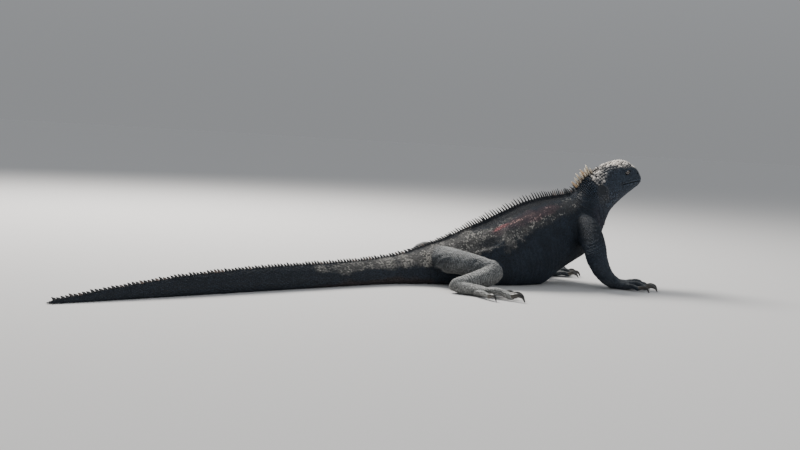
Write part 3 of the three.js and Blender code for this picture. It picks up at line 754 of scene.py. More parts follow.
def attribute_of(tree, name):
    """What a mesh keeps under a name, as a number."""
    return add(tree, "ShaderNodeAttribute", attribute_name=name).outputs["Fac"]


def new_material(name):
    """A material, its tree, its shader and the place in the object that it colours."""
    material = bpy.data.materials.new(name)
    material.use_nodes = True
    tree = material.node_tree
    return material, tree, tree.nodes["Principled BSDF"], add(tree, "ShaderNodeTexCoord").outputs["Object"]


def dress_shader(tree, shader, color, roughness, grain, strength, depth):
    """Links a shader's colour and roughness, and bumps it by a grain of a depth in m."""
    bump = add(tree, "ShaderNodeBump", {"Height": grain, "Strength": strength, "Distance": depth}).outputs[0]
    for key, value in (("Base Color", color), ("Roughness", roughness), ("Normal", bump)):
        tree.links.new(value, shader.inputs[key])


def mixed(tree, factor, first, second):
    """The first colour where the factor is 0 and the second where it is 1."""
    return add(tree, "ShaderNodeMix", {0: factor, 6: first, 7: second}, data_type="RGBA").outputs[2]


patch_group, patch_in, patch_out = group_of(
    "soft patch",
    "ShaderNodeTree",
    [
        ("Vector", "NodeSocketVector"),
        ("Centre", "NodeSocketVector"),
        ("Size", "NodeSocketVector", (1, 1, 1)),
        ("Ragged", "NodeSocketFloat", 0.35),
        ("Grain", "NodeSocketFloat"),
    ],
    [("Mask", "NodeSocketFloat")],
)
given = patch_in.outputs
offset = vector_of(patch_group, "SUBTRACT", {0: given["Vector"], 1: given["Centre"]})
shrunk = vector_of(patch_group, "DIVIDE", {0: offset.outputs[0], 1: given["Size"]})
reach = vector_of(patch_group, "LENGTH", {0: shrunk.outputs[0]}).outputs["Value"]
torn = math_of(patch_group, "MULTIPLY_ADD", given["Grain"], given["Ragged"], reach)
edge = mapped(patch_group, torn, 0.7, 1.25, 1, 0, "SMOOTHSTEP")
patch_group.links.new(edge, patch_out.inputs["Mask"])

# The hide is charcoal, and these two are painted darker and bluer than it, as painted sky-lit shade over the
# whole animal
CHARCOAL = paint(31, 40, 51)
CHARCOAL_DEEP = paint(17, 25, 34)
TAIL_BROWN = paint(37, 42, 49)
# Pale worn scales, and a painted highlight on the flank's fold
WEAR_AND_HIGHLIGHT = paint(140, 137, 131)
DUSTY = paint(66, 64, 62)
PINK = paint(190, 118, 118)
PALE_PINK = paint(166, 132, 126)
BLUSH = paint(70, 52, 62)
RUST = paint(66, 54, 50)
LEG = paint(90, 93, 95)
LEG_DARK = paint(44, 50, 56)
LEG_WORN = paint(146, 145, 140)
# Painted light for the up-facing tops of the legs
PAINTED_TOP_LIGHT = paint(190, 190, 186)
PAINTED_RIDGE_SHADE = paint(9, 14, 21)
FORELEG = paint(36, 44, 55)
THROAT = paint(50, 50, 60)
FACE = paint(48, 57, 68)
SALT = paint(214, 206, 196)
WIDE = 9.0  # a patch's size along a direction that doesn't matter
# Markings by region: place along the body in m, share of the way from the ridge to the underside, and how
# much it belongs to a leg. Centre, half sizes, ragged edge, colour, how much of it shows, how speckled
REGION_MARKS = [
    ((-0.50, 0.5, 0), (0.52, WIDE, WIDE), 0.2, TAIL_BROWN, 0.7, 0.0),
    ((-0.09, 0.78, 0), (0.12, 0.24, 0.5), 0.5, RUST, 0.5, 0.0),
    # A grey wash over the rump and back, partly the hide's own colour and partly painted sunlight on the
    # upper back
    ((0.01, 0.20, 0), (0.14, 0.17, 0.6), 0.6, DUSTY, 0.5, 0.0),
    ((0.20, 0.22, 0), (0.12, 0.08, 0.5), 0.6, DUSTY, 0.2, 0.0),
    # Painted shade along the ridge under the crest, on both sides
    ((0.16, 0.0, 0), (0.20, 0.11, 0.5), 0.3, PAINTED_RIDGE_SHADE, 0.75, 0.0),
    # Clusters of pale worn scales, partly their own wear and partly painted sunlight on the upper back
    ((0.03, 0.21, 0), (0.12, 0.16, 0.6), 1.0, WEAR_AND_HIGHLIGHT, 0.85, 0.7),
    ((-0.11, 0.18, 0), (0.09, 0.15, 0.5), 1.3, WEAR_AND_HIGHLIGHT, 0.75, 0.55),
    ((0.145, 0.21, 0), (0.065, 0.09, 0.5), 0.8, WEAR_AND_HIGHLIGHT, 0.6, 0.85),
    ((0.235, 0.23, 0), (0.060, 0.08, 0.5), 0.9, WEAR_AND_HIGHLIGHT, 0.55, 0.9),
    ((0.292, 0.19, 0), (0.035, 0.09, 0.5), 0.9, WEAR_AND_HIGHLIGHT, 0.4, 0.9),
    # Painted shade in the hollow in front of the thigh
    ((0.108, 0.265, 0), (0.026, 0.045, 0.5), 0.6, CHARCOAL_DEEP, 0.75, 0.0),
    # Painted highlight along the lit edge of the flank's fold
    ((0.105, 0.325, 0), (0.024, 0.012, 0.5), 0.8, WEAR_AND_HIGHLIGHT, 0.45, 0.6),
    ((0.132, 0.285, 0), (0.006, 0.040, 0.5), 0.8, WEAR_AND_HIGHLIGHT, 0.5, 0.6),
    ((0.185, 0.185, 0), (0.075, 0.050, 0.5), 1.2, BLUSH, 0.65, 0.4),
    ((0.170, 0.175, 0), (0.040, 0.020, 0.5), 1.2, PALE_PINK, 0.8, 0.85),
    ((0.138, 0.165, 0), (0.016, 0.016, 0.5), 1.2, PINK, 0.9, 0.55),
    ((0.215, 0.20, 0), (0.045, 0.04, 0.5), 1.0, PALE_PINK, 0.5, 0.9),
    # Painted shade over the top of the shoulder and the upper arm
    ((0.275, 0.42, 1), (0.035, 0.14, 0.7), 0.3, CHARCOAL_DEEP, 0.75, 0.0),
    ((0.345, 0.72, 0), (0.06, 0.3, 0.6), 0.5, THROAT, 0.6, 0.0),
    ((0.40, 0.45, 0), (0.07, 0.4, 0.6), 0.3, FACE, 0.75, 0.0),
    ((0.350, 0.42, 0), (0.014, 0.12, 0.5), 0.9, DUSTY, 0.6, 0.5),
    ((0.362, 0.18, 0), (0.014, 0.13, 0.5), 0.6, SALT, 0.6, 0.5),
    ((0.395, 0.0, 0), (0.045, 0.12, 0.5), 0.6, SALT, 0.8, 0.55),
    ((0.395, 0.13, 0), (0.045, 0.09, 0.5), 0.8, SALT, 0.6, 0.75),
    ((0.430, 0.0, 0), (0.032, 0.28, 0.5), 0.5, SALT, 0.95, 0.2),
    ((0.448, 0.40, 0), (0.012, 0.14, 0.5), 0.9, WEAR_AND_HIGHLIGHT, 0.35, 0.6),
]
markings, marks_in, marks_out = group_of(
    "iguana markings",
    "ShaderNodeTree",
    [
        ("Region", "NodeSocketVector"),
        ("Position", "NodeSocketVector"),
        ("Upward", "NodeSocketFloat"),
        ("Shade", "NodeSocketFloat"),
        ("Rise", "NodeSocketFloat"),
    ],
    [("Color", "NodeSocketColor"), ("Salt", "NodeSocketFloat")],
)
region, position, upward, own_tone, rise = [marks_in.outputs[i] for i in range(5)]
mottle = noise_of(markings, position, 38.0, 4.0)
coarse = noise_of(markings, position, 150.0)
grain = math_of(markings, "SUBTRACT", mottle, 0.5)
dusty = mapped(markings, mottle, 0.35, 0.7)
color = mixed(markings, dusty, CHARCOAL_DEEP, CHARCOAL)
# The legs are greyer than the trunk, paler low down, and the forelegs darker than the hind legs
leg_share = mapped(markings, axes_of(markings, region)["Z"], 0.15, 1.0, kind="SMOOTHSTEP")
leg_color = mixed(markings, dusty, LEG_DARK, LEG)
low_down = mapped(markings, axes_of(markings, position)["Z"], 0.045, 0.012)
leg_color = mixed(markings, math_of(markings, "MULTIPLY", low_down, 0.6), leg_color, LEG_WORN)
foreleg_share = mapped(markings, axes_of(markings, position)["X"], 0.04, 0.06)
foreleg_color = mixed(markings, math_of(markings, "MULTIPLY", low_down, 0.35), FORELEG, LEG)
foreleg_color = mixed(markings, dusty, CHARCOAL, foreleg_color)
leg_color = mixed(markings, foreleg_share, leg_color, foreleg_color)
# Painted light on the up-facing tops of the legs and the toes, more on the hind legs and low down
lit_tops = mapped(markings, upward, 0.5, 1.0, kind="SMOOTHSTEP")
top_light_amount = mapped(markings, foreleg_share, 0.0, 1.0, 0.8, 0.05)
top_light_amount = math_of(markings, "MULTIPLY_ADD", low_down, 0.35, top_light_amount)
leg_color = mixed(markings, math_of(markings, "MULTIPLY", lit_tops, top_light_amount), leg_color, PAINTED_TOP_LIGHT)
color = mixed(markings, leg_share, color, leg_color)
# Worn scales come in clusters, and salt lies on what is raised
own_share = math_of(markings, "MULTIPLY", own_tone, 0.6)
clumped = math_of(markings, "MULTIPLY_ADD", noise_of(markings, position, 85.0, 2.0), 1.6, own_share)
raised = math_of(markings, "MULTIPLY_ADD", coarse, 0.9, rise)
raised = math_of(markings, "MULTIPLY_ADD", own_tone, 0.5, raised)
crusted = mapped(markings, raised, 1.0, 1.4, 0.04)
salt_mask = None
for centre, size, ragged, tint, amount, speckled in REGION_MARKS:
    inputs = {"Vector": region, "Grain": grain, "Centre": centre, "Size": size, "Ragged": ragged * 2}
    patch = add(markings, "ShaderNodeGroup", inputs, node_tree=patch_group)
    mask = math_of(markings, "MULTIPLY", patch.outputs["Mask"], amount)
    if speckled:
        low = 0.93 + 0.4 * speckled
        spots = mapped(markings, clumped, low, low + 0.14)
        kept = math_of(markings, "MULTIPLY_ADD", spots, speckled, 1 - speckled)
        mask = math_of(markings, "MULTIPLY", mask, kept)
    if tint == SALT:
        mask = math_of(markings, "MULTIPLY", mask, crusted)
    color = mixed(markings, mask, color, tint)
    if tint == SALT:
        salt_mask = mask if salt_mask is None else math_of(markings, "MAXIMUM", salt_mask, mask)
# Each scale has its own tone, and its raised middle is rubbed paler than its edge
tone = math_of(markings, "MULTIPLY_ADD", own_tone, 0.7, 0.65)
worn_top = math_of(markings, "MULTIPLY_ADD", rise, 0.7, 0.68)
tone = math_of(markings, "MULTIPLY", tone, worn_top)
toned = vector_of(markings, "SCALE", {0: color, 3: tone})
markings.links.new(toned.outputs[0], marks_out.inputs["Color"])
markings.links.new(salt_mask, marks_out.inputs["Salt"])


def hide_material(name, bump_scale, bump_height, shade=None, rise=None):
    """A matt hide with the markings. Where no shade and rise are given, each scale brings its own."""
    material, tree, shader, position = new_material(name)
    normal = add(tree, "ShaderNodeNewGeometry").outputs["Normal"]
    inputs = {
        "Region": add(tree, "ShaderNodeAttribute", attribute_name="region").outputs["Vector"],
        "Position": position,
        "Upward": axes_of(tree, normal)["Z"],
        "Shade": attribute_of(tree, "shade") if shade is None else shade,
        "Rise": attribute_of(tree, "rise") if rise is None else rise,
    }
    marks = add(tree, "ShaderNodeGroup", inputs, node_tree=markings)
    pores = noise_of(tree, position, bump_scale)
    rough = mapped(tree, pores, 0.0, 1.0, 0.5, 0.8)
    chalky = math_of(tree, "MULTIPLY_ADD", marks.outputs["Salt"], 0.35, rough)
    dress_shader(tree, shader, marks.outputs["Color"], chalky, pores, 0.6, bump_height)
    shader.inputs["Specular IOR Level"].default_value = 0.32
    return material


def write_region(mesh, points):
    """Keeps for the markings where on the body each of a mesh's points is."""
    place, angle, off_body = regions_of(points)
    region = np.column_stack([place * MM, np.abs(angle) / math.pi, smooth(off_body, 2, 16)])
    write_attribute(mesh, "region", region)


write_region(skin.data, mesh_points(skin.data))
skin.data.materials.clear()
skin.data.materials.append(hide_material("hide between the scales", 900.0, 0.0003, shade=0.2, rise=0.1))

flesh_nodes = [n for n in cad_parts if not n.startswith(("claw_", "eye_"))]
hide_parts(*flesh_nodes)
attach(skin, "root")

# The scales of the trunk, the neck and the tail
# Small horny granules over the trunk and neck, in close rows across the body, and keeled scales in rings
# round the tail. Each grows from the hide and points back.
PATCH = 0.0015  # half the size of a scale's own patch of the baking map
PRESSED = 0.05  # the scales that the animal lies on are pressed flat this far over the floor


def scale_tree(name):
    """Geometry nodes that grow a closed, horny cone on each root, from a flat granule to a tall spine."""
    tree, given, made = group_of(
        name,
        "GeometryNodeTree",
        [
            ("Roots", "NodeSocketGeometry"),
            ("Sides", "NodeSocketInt", 6),
            ("Rings", "NodeSocketInt", 2),
            ("Fullness", "NodeSocketFloat", 2.0),
            ("Taper", "NodeSocketFloat", 0.6),
            ("Keel", "NodeSocketFloat", 0.0),
            ("Lean", "NodeSocketFloat", 0.3),
            ("Curve", "NodeSocketFloat", 1.5),
            ("Sunk", "NodeSocketFloat", 0.3),
            ("Material", "NodeSocketMaterial"),
        ],
        [("Scales", "NodeSocketGeometry")],
    )
    value = given.outputs
    sizes = {"Radius Top": 0.0, "Radius Bottom": 1.0, "Depth": 1.0}
    rows = {"Vertices": value["Sides"], "Side Segments": value["Rings"]}
    cone = add(tree, "GeometryNodeMeshCone", {**rows, **sizes}, fill_type="NGON").outputs["Mesh"]
    axes = axes_of(tree, add(tree, "GeometryNodeInputPosition").outputs[0])
    rise = axes["Z"]

    def of(operation, *values):
        return math_of(tree, operation, *values)

    # A plain cone is swollen to the full shape, pinched to its keel, leant back and sunk into the hide
    left = of("SUBTRACT", 1.0, of("POWER", rise, value["Fullness"]))
    swell = of("DIVIDE", of("POWER", left, value["Taper"]), of("MAXIMUM", of("SUBTRACT", 1.0, rise), 0.02))
    pinch = of("SUBTRACT", 1.0, of("MULTIPLY", value["Keel"], of("MINIMUM", rise, 0.9)))
    leant = of("MULTIPLY", value["Lean"], of("POWER", rise, value["Curve"]))
    x = of("MULTIPLY_ADD", axes["X"], swell, leant)
    y = of("MULTIPLY", of("MULTIPLY", axes["Y"], swell), pinch)
    z = of("SUBTRACT", of("MULTIPLY", rise, of("ADD", 1.0, value["Sunk"])), value["Sunk"])
    shape = add(tree, "ShaderNodeCombineXYZ", {0: x, 1: y, 2: z}).outputs[0]
    raised = {"Geometry": cone, "Name": "rise", "Value": rise}
    kept = add(tree, "GeometryNodeStoreNamedAttribute", raised, data_type="FLOAT")
    spot = add(tree, "ShaderNodeCombineXYZ", {0: axes["X"], 1: axes["Y"]}).outputs[0]
    spotted = {"Geometry": kept.outputs[0], "Name": "spot", "Value": spot}
    kept = add(tree, "GeometryNodeStoreNamedAttribute", spotted, data_type="FLOAT_VECTOR")
    shaped = add(tree, "GeometryNodeSetPosition", {"Geometry": kept.outputs[0], "Position": shape})
    rounded = add(tree, "GeometryNodeSetShadeSmooth", {"Geometry": shaped.outputs[0]})
    own = {}
    for label in ("out", "lie", "size"):
        read = add(tree, "GeometryNodeInputNamedAttribute", {"Name": label}, data_type="FLOAT_VECTOR")
        own[label] = read.outputs["Attribute"]
    ways = {0: own["out"], 1: own["lie"]}
    turned = add(tree, "FunctionNodeAxesToRotation", ways, primary_axis="Z", secondary_axis="X").outputs[0]
    scale = rounded.outputs[0]
    inputs = {"Points": value["Roots"], "Instance": scale, "Rotation": turned, "Scale": own["size"]}
    grown = add(tree, "GeometryNodeInstanceOnPoints", inputs)
    real = add(tree, "GeometryNodeRealizeInstances", {"Geometry": grown.outputs[0]})
    dressed = {"Geometry": real.outputs[0], "Material": value["Material"]}
    finished = add(tree, "GeometryNodeSetMaterial", dressed)
    tree.links.new(finished.outputs[0], made.inputs["Scales"])
    return tree


SCALE_TREE = scale_tree("horny scale")


def join_roots(*several):
    """Several sets of roots as one."""
    return {key: np.concatenate([roots[key] for roots in several]) for key in several[0]}


def take(roots, kept):
    """The roots that are kept."""
    return {key: value[kept] for key, value in roots.items()}


def grow_scales(name, roots, material, slot, **shape):
    """Makes one piece of scales on its roots, as a plain mesh that rides with the body."""
    mesh = bpy.data.meshes.new(name + " roots")
    mesh.from_pydata((roots["at"] * MM).tolist(), [], [])
    for key in ("out", "lie", "shade"):
        write_attribute(mesh, key, roots[key])
    write_attribute(mesh, "size", roots["size"] * MM)
    write_attribute(mesh, "patch", np.column_stack([roots["unwrap"], 0 * roots["shade"]]))
    write_region(mesh, roots["at"])
    piece = new_object(name, mesh)
    modifier = piece.modifiers.new("scales", "NODES")
    modifier.node_group = SCALE_TREE
    items = SCALE_TREE.interface.items_tree
    sockets = {item.name: item.identifier for item in items if item.in_out == "INPUT"}
    for label, value in {"Material": material, **shape}.items():
        modifier[sockets[label]] = value
    with_modifiers_applied(piece)
    grown = piece.data
    patch, spot = [read_vectors(grown.attributes[key].data)[:, :2] for key in ("patch", "spot")]
    flat = patch + PATCH * spot
    corners = np.empty(len(grown.loops), np.int32)
    grown.loops.foreach_get("vertex_index", corners)
    grown.uv_layers.new(name="OFBake").data.foreach_set("uv", flat[corners].astype(np.float32).ravel())
    for key in ("patch", "spot", "out", "lie", "size"):
        if key in grown.attributes:
            grown.attributes.remove(grown.attributes[key])
    points = mesh_points(grown)
    points[:, 2] = np.maximum(points[:, 2], PRESSED)
    move_points(grown, points)
    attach(piece, "root")


skin_points = mesh_points(skin.data) * MM
skin_faces = [tuple(p.vertices) for p in skin.data.polygons]
skin_tree = BVHTree.FromPolygons(skin_points.tolist(), skin_faces)
skin_normals = read_vectors(skin.data.vertex_normals).astype(float)
REACH = 0.0065  # how far from the hide a root may be before it is set on it


def squared(lie, out):
    """Directions turned square to the ones that point out of the hide."""
    return unit(lie - out * (lie * out).sum(1)[:, None])


def set_on_skin(roots, reach=REACH):
    """Moves roots to the nearest place of the hide, square to it, and drops those far from it."""
    kept, at, out = [], [], []
    for i, point in enumerate((roots["at"] * MM).tolist()):
        place, _, face, _ = skin_tree.find_nearest(point, reach)
        if place is not None:
            corners = list(skin_faces[face])
            kept.append(i)
            at.append(place)
            out.append(skin_normals[corners].mean(0))
    roots = take(roots, np.array(kept, int))
    roots["at"] = np.array(at) / MM
    roots["out"] = unit(np.array(out))
    roots["lie"] = squared(roots["lie"], roots["out"])
    return roots


CROWDED = 0.62  # how close two scales may stand, as a share of their width
LEG_PLACE = -9999.0  # roots on the legs have this for their place along the body
CROWN_PLACE = 10000  # added to the place of the cones of the crown
EDGE_PLACE = 20000  # the place of the plates and beads at the edges of the mouth and the openings


def thinned(roots):
    """Leaves out each root that crowds one before it."""
    tree = tree_of(roots["at"])
    kept = np.ones(len(roots["at"]), bool)
    width = roots["size"][:, :2].mean(1) * 2
    for i, point in enumerate(roots["at"].tolist()):
        if kept[i]:
            for _, j, _ in tree.find_range(point, width[i] * CROWDED):
                if j > i:
                    kept[j] = False
    return take(roots, kept)


def ring_roots(ring, lie, shift, scale, unwrap, seed):
    """Roots in a row along a line of points, a scale's width apart, with their places in the baking map."""
    length, width, height = scale
    draw = np.random.default_rng(seed)
    ways = np.append(0, np.cumsum(np.linalg.norm(np.diff(ring, axis=0), axis=1)))
    count = max(int(round(ways[-1] / width)), 3)
    spots = (np.arange(count) + shift + 0.16 * (draw.random(count) - 0.5)) % count / count * ways[-1]
    at = np.column_stack([np.interp(spots, ways, ring[:, k]) for k in range(3)])
    lie = np.column_stack([np.interp(spots, ways, lie[:, k]) for k in range(3)])
    vary = 0.86 + 0.28 * draw.random((count, 1))
    size = vary * np.array([[length * 0.62, width * 0.6, height]])
    across, (low, high) = unwrap
    share = spots / ways[-1]
    return {
        "at": at + lie * 0.3 * (draw.random((count, 1)) - 0.5),
        "out": np.zeros((count, 3)),
        "lie": unit(lie),
        "size": size,
        "shade": draw.random(count),
        "unwrap": np.column_stack([across + 0 * share, low + share * (high - low)]),
    }


ring_angles = np.linspace(-math.pi, math.pi, 145)
# Scales by place along the body: length, width, height
BODY_SCALES = [
    (-615, 2.0, 1.6, 0.6),
    (-500, 3.0, 2.2, 0.9),
    (-300, 3.6, 2.5, 1.0),
    (-120, 3.6, 2.6, 0.9),
    (-30, 2.9, 2.4, 0.75),
    (40, 2.45, 2.25, 0.7),
    (240, 2.35, 2.2, 0.7),
    (320, 2.3, 2.2, 0.75),
    (HEAD_PLACE + 10, 2.4, 2.3, 0.75),
    (HEAD_PLACE + 50, 2.5, 2.4, 0.7),
    (FRONT_LENGTH, 1.8, 1.8, 0.6),
]
ROW_STEP = 0.86  # of a scale's length, from one row to the next
WHOLE_LENGTH = FRONT_LENGTH + TAIL_LENGTH


def placed(roots, place):
    """Roots that all have one place along the body."""
    roots["place"] = np.full(len(roots["at"]), float(place))
    return roots


body_scale_places = [row[0] for row in BODY_SCALES]
body_roots, row_count, place = [], 0, -TAIL_LENGTH * 0.985
while place < FRONT_LENGTH - 1:
    scale = rows_at(BODY_SCALES, body_scale_places, np.array([place]))[0][1:]
    ring, ahead = body_points(np.array([[place], [place + 0.5]]), ring_angles[None])
    unwrap = ((place + TAIL_LENGTH) / WHOLE_LENGTH, (0.02, 0.98))
    row = ring_roots(ring, unit(ring - ahead), row_count % 2 / 2, scale, unwrap, row_count)
    body_roots.append(placed(row, place))
    place += scale[0] * ROW_STEP
    row_count += 1
body_roots = set_on_skin(join_roots(*body_roots))

# The scales of the legs
# Granules in rows round each limb and pointing down it, a little smaller on the palms and the digits.
LEG_SCALE = (2.3, 2.15, 0.6)  # length, width, height
DIGIT_SCALE = (2.2, 1.9, 0.5)
limb_angles = np.linspace(0, 2 * math.pi, 97)


def limb_roots(stations, start, end, scale, unwrap, seed):
    """Rows of roots from one end of a limb to the other."""
    line = limb_line(stations, np.linspace(start, end, 60))[0]
    total = np.linalg.norm(np.diff(line, axis=0), axis=1).sum()
    count = max(int(total / (scale[0] * ROW_STEP)), 2)
    rows = []
    (low, high), strip = unwrap
    for i, t in enumerate(np.linspace(start, end, count)):
        ring, ahead = limb_points(stations, np.array([[t], [t + 0.004]]), limb_angles[None])
        across = low + (high - low) * i / count
        rows.append(ring_roots(ring, unit(ahead - ring), i % 2 / 2, scale, (across, strip), seed + i))
    return join_roots(*rows)


leg_roots = {"fore": [], "hind": []}
for n, (name, leg) in enumerate(LEGS.items()):
    low = 0.02 if name.endswith("right") else 0.52
    stations, seed = leg["stations"], 1000 + n * 900
    # stations, from and to along them, size of the scales, place in the baking map, seed
    stretches = [
        (stations[:4], 0.12, 1, LEG_SCALE, ((0.02, 0.98), (low, low + 0.2)), seed),
        (stations[3:], 0, 1, LEG_SCALE, ((0.02, 0.98), (low + 0.21, low + 0.33)), seed + 300),
        (palms[name], 0, 1, DIGIT_SCALE, ((0.02, 0.6), (low + 0.34, low + 0.38)), seed + 600),
    ]
    for i in range(1, 6):
        strip = (low + 0.385 + 0.015 * (i - 1), low + 0.398 + 0.015 * (i - 1))
        unwrap = ((0.02, 0.98), strip)
        stretches.append((digits[name, i], 0, CLAW_SHARE, DIGIT_SCALE, unwrap, seed + 700 + i * 30))
    leg_roots[name.split("_")[0]] += [limb_roots(*stretch) for stretch in stretches]
for kind, several in leg_roots.items():
    leg_roots[kind] = placed(set_on_skin(join_roots(*several), 0.004), LEG_PLACE)

# The scales of the head
# Tall blunt cones crowd the crown, crusted with dried salt, and grow smaller down the face. Plates edge the
# lips, rings of beads edge the lids and the nostrils, and larger round scales cover the jowl.
# Cones by place from the back of the head: length, width, height, how far down the sides they reach
CROWN = [
    (-16, 3.0, 3.0, 1.2, 34),
    (-4, 3.9, 3.8, 2.2, 42),
    (8, 5.0, 4.8, 2.6, 42),
    (22, 5.4, 5.2, 2.4, 36),
    (40, 5.8, 5.5, 2.4, 28),
    (56, 5.8, 5.6, 2.8, 22),
    (70, 5.4, 5.3, 3.4, 20),
    (82, 4.8, 4.7, 3.7, 19),
    (92, 4.2, 4.2, 3.2, 17),
    (99, 3.0, 3.0, 1.8, 13),
]
# Length, width and height of the other scales of the head
LIP_PLATE = (3.9, 3.5, 1.0)
LID_BEAD = (1.6, 1.5, 0.8)
LID_RINGS = 4
NOSTRIL_BEAD = (2.1, 2.0, 0.9)
EAR_BEAD = (2.3, 2.2, 1.0)
JOWL_SCALE = (4.6, 4.4, 1.4)
JOWL_PATCH = ((7, -12), (17, 12))  # centre and half sizes, in the head's frame
HEAD_UP = head_point(0, 0, 1) - head_point(0, 0, 0)
HEAD_AHEAD = head_point(1, 0, 0) - head_point(0, 0, 0)


crown_roots, row_count, offset = [], 0, CROWN[0][0]
while offset < FRONT_LENGTH - HEAD_PLACE - 3:
    *scale, side_reach = rows_at(CROWN, [row[0] for row in CROWN], np.array([offset]))[0][1:]
    place = HEAD_PLACE + offset
    spread = side_reach / half_width(place)[0]
    arc, ahead = body_points(np.array([[place], [place + 0.5]]), np.linspace(-spread, spread, 60)[None])
    unwrap = (row_count * 0.012 + 0.02, (0.36, 0.64))
    row = ring_roots(arc, unit(arc - ahead), 0.25 + row_count % 2 / 2, scale, unwrap, 5000 + row_count)
    row["size"][:, 2] *= 1.1 - 0.5 * (np.abs(row["at"][:, 1]) / side_reach) ** 2
    crown_roots.append(placed(row, place + CROWN_PLACE))
    offset += scale[0] * 0.87
    row_count += 1
crown_roots = set_on_skin(join_roots(*crown_roots), 0.009)
# The last spines of the crest stand in a gap between the cones
in_gap = (np.abs(crown_roots["at"][:, 1]) < 3.2) & (crown_roots["place"] < CROWN_PLACE + HEAD_PLACE + 12)
crown_roots = take(crown_roots, ~in_gap)

edge_roots = []
mouth_along = np.gradient(mouth_line, axis=0)
mouth_lie = unit(mouth_along) * np.sign(-mouth_along @ HEAD_AHEAD)[:, None]
for i, lift in enumerate((-2.5, 2.5)):
    unwrap = (0.3 + 0.02 * i, (0.05, 0.95))
    edge_roots.append(ring_roots(mouth_line + HEAD_UP * lift, mouth_lie, 0.5, LIP_PLATE, unwrap, 6000 + i))
turn = np.linspace(0, 2 * math.pi, 61)
around, over = np.cos(turn), np.sin(turn)
for side in (-1, 1):
    (x, y, z), (length, _, height) = SLIT
    for i in range(LID_RINGS):
        grow = 0.75 + 1.35 * i
        outward = side * (y - 0.3 - 0.8 * i)
        loop = head_point(x + (length + grow) * around, outward, z + (height + grow) * over)
        unwrap = (0.4 + 0.01 * i + 0.05 * side, (0.1, 0.4))
        lie = unit(np.gradient(loop, axis=0))
        edge_roots.append(ring_roots(loop, lie, i % 2 / 2, LID_BEAD, unwrap, 6100 + i))
    outward = unit(HEAD_UP * 0.35 + HEAD_AHEAD * 0.3 + np.array([0, side, 0]))
    first = unit(np.cross(outward, HEAD_UP))
    second = np.cross(outward, first)
    centre = head_point(NOSTRIL[0][0], side * (NOSTRIL[0][1] - 0.8), NOSTRIL[0][2])
    loop = centre + 3.5 * (around[:, None] * first + over[:, None] * second)
    unwrap = (0.5 + 0.05 * side, (0.5, 0.6))
    edge_roots.append(ring_roots(loop, unit(loop - centre), 0, NOSTRIL_BEAD, unwrap, 6200))
    (x, y, z), (length, height) = EARDRUM
    loop = head_point(x + length * 1.05 * around, side * (y + 1), z + height * 1.05 * over)
    unwrap = (0.6 + 0.05 * side, (0.5, 0.9))
    edge_roots.append(ring_roots(loop, unit(np.gradient(loop, axis=0)), 0, EAR_BEAD, unwrap, 6300))
    (x, z), (length, height) = JOWL_PATCH
    for i, level in enumerate(np.arange(-height, height + 1, JOWL_SCALE[0] * 0.84)):
        half = length * math.sqrt(max(1 - (level / height) ** 2, 0.05))
        row = head_point(x + np.linspace(-half, half, 20), side * 38, z + level)
        back = np.tile(-HEAD_AHEAD, (len(row), 1))
        unwrap = (0.7 + 0.02 * i + 0.01 * side, (0.2, 0.5))
        edge_roots.append(ring_roots(row, back, i % 2 / 2, JOWL_SCALE, unwrap, 6400 + i))
edge_roots = set_on_skin(placed(join_roots(*edge_roots), EDGE_PLACE), 0.012)

# Half sizes of the place round an eye that the rows, and the filling scales, leave to the lids' own beads
LID_CLEARANCE = (11.5, 8.4)
FILLER_CLEARANCE = (9.2, 6.0)
# How far from the mouth line the same two stay
LIP_CLEARANCE = 4.4
FILLER_LIP_CLEARANCE = 4.2


def clear_of_openings(roots, lip, lids):
    """Which roots stand off the lips, the lids, the nostrils and the eardrums."""
    own = head_frame(roots["at"])
    mouth_away = line_distance(own, head_frame(mouth_line[: len(MOUTH) + 1]))
    (x, _, z), (length, height) = SLIT[0], lids
    lids_away = np.hypot((own[:, 0] - x) / length, (own[:, 2] - z) / height) + (own[:, 1] < 16)
    (x, y, z), _ = NOSTRIL
    hole_away = np.linalg.norm(own - [x, y - 1, z], axis=1)
    clear = (mouth_away > lip) & (lids_away > 1) & (hole_away > 4) & (eardrum_share(roots["at"]) > 0.95)
    return clear | (roots["place"] < HEAD_PLACE - 40)


# Where the trunk's rows and a leg's rows meet, the trunk's are kept, and small scales fill what the rows
# leave bare, over the brows and in the bends of the legs
crown_roots = take(crown_roots, clear_of_openings(crown_roots, LIP_CLEARANCE, LID_CLEARANCE))
body_roots = take(body_roots, clear_of_openings(body_roots, LIP_CLEARANCE, LID_CLEARANCE))
every_root = thinned(join_roots(edge_roots, crown_roots, body_roots, *leg_roots.values()))
FILLER = 0.92  # size of a filling scale, as a share of the scales round it
TIP_CLEARANCE = 5.5  # how far from a claw's root fillers stay
on_coat, beside = tree_of(every_root["at"]), []
fill_points = skin_points / MM
claw_tips = [digits[key][int(len(digits[key]) * CLAW_SHARE) + 1][:3] for key in digits]
tip_tree = tree_of(np.array(claw_tips, float))
for i, point in enumerate(fill_points.tolist()):
    _, j, away = on_coat.find(point)
    width = every_root["size"][j, :2].mean() * 2
    if away > width * CROWDED and tip_tree.find(point)[2] > TIP_CLEARANCE:
        beside.append((i, j))
beside = np.array(beside)
fillers = take(every_root, beside[:, 1])
step = fill_points[beside[:, 0]] - fillers["at"]
fillers["at"] = fill_points[beside[:, 0]]
fillers["out"] = unit(skin_normals[beside[:, 0]])
fillers["lie"] = squared(fillers["lie"], fillers["out"])
sideways = np.cross(fillers["out"], fillers["lie"])
MAP_GIRTH = 300  # how much of the way round the body the whole baking map stands for, in mm
shifts = [-(step * fillers["lie"]).sum(1) / WHOLE_LENGTH, (step * sideways).sum(1) / MAP_GIRTH]
fillers["unwrap"] = fillers["unwrap"] + np.column_stack(shifts)
draw = np.random.default_rng(77)
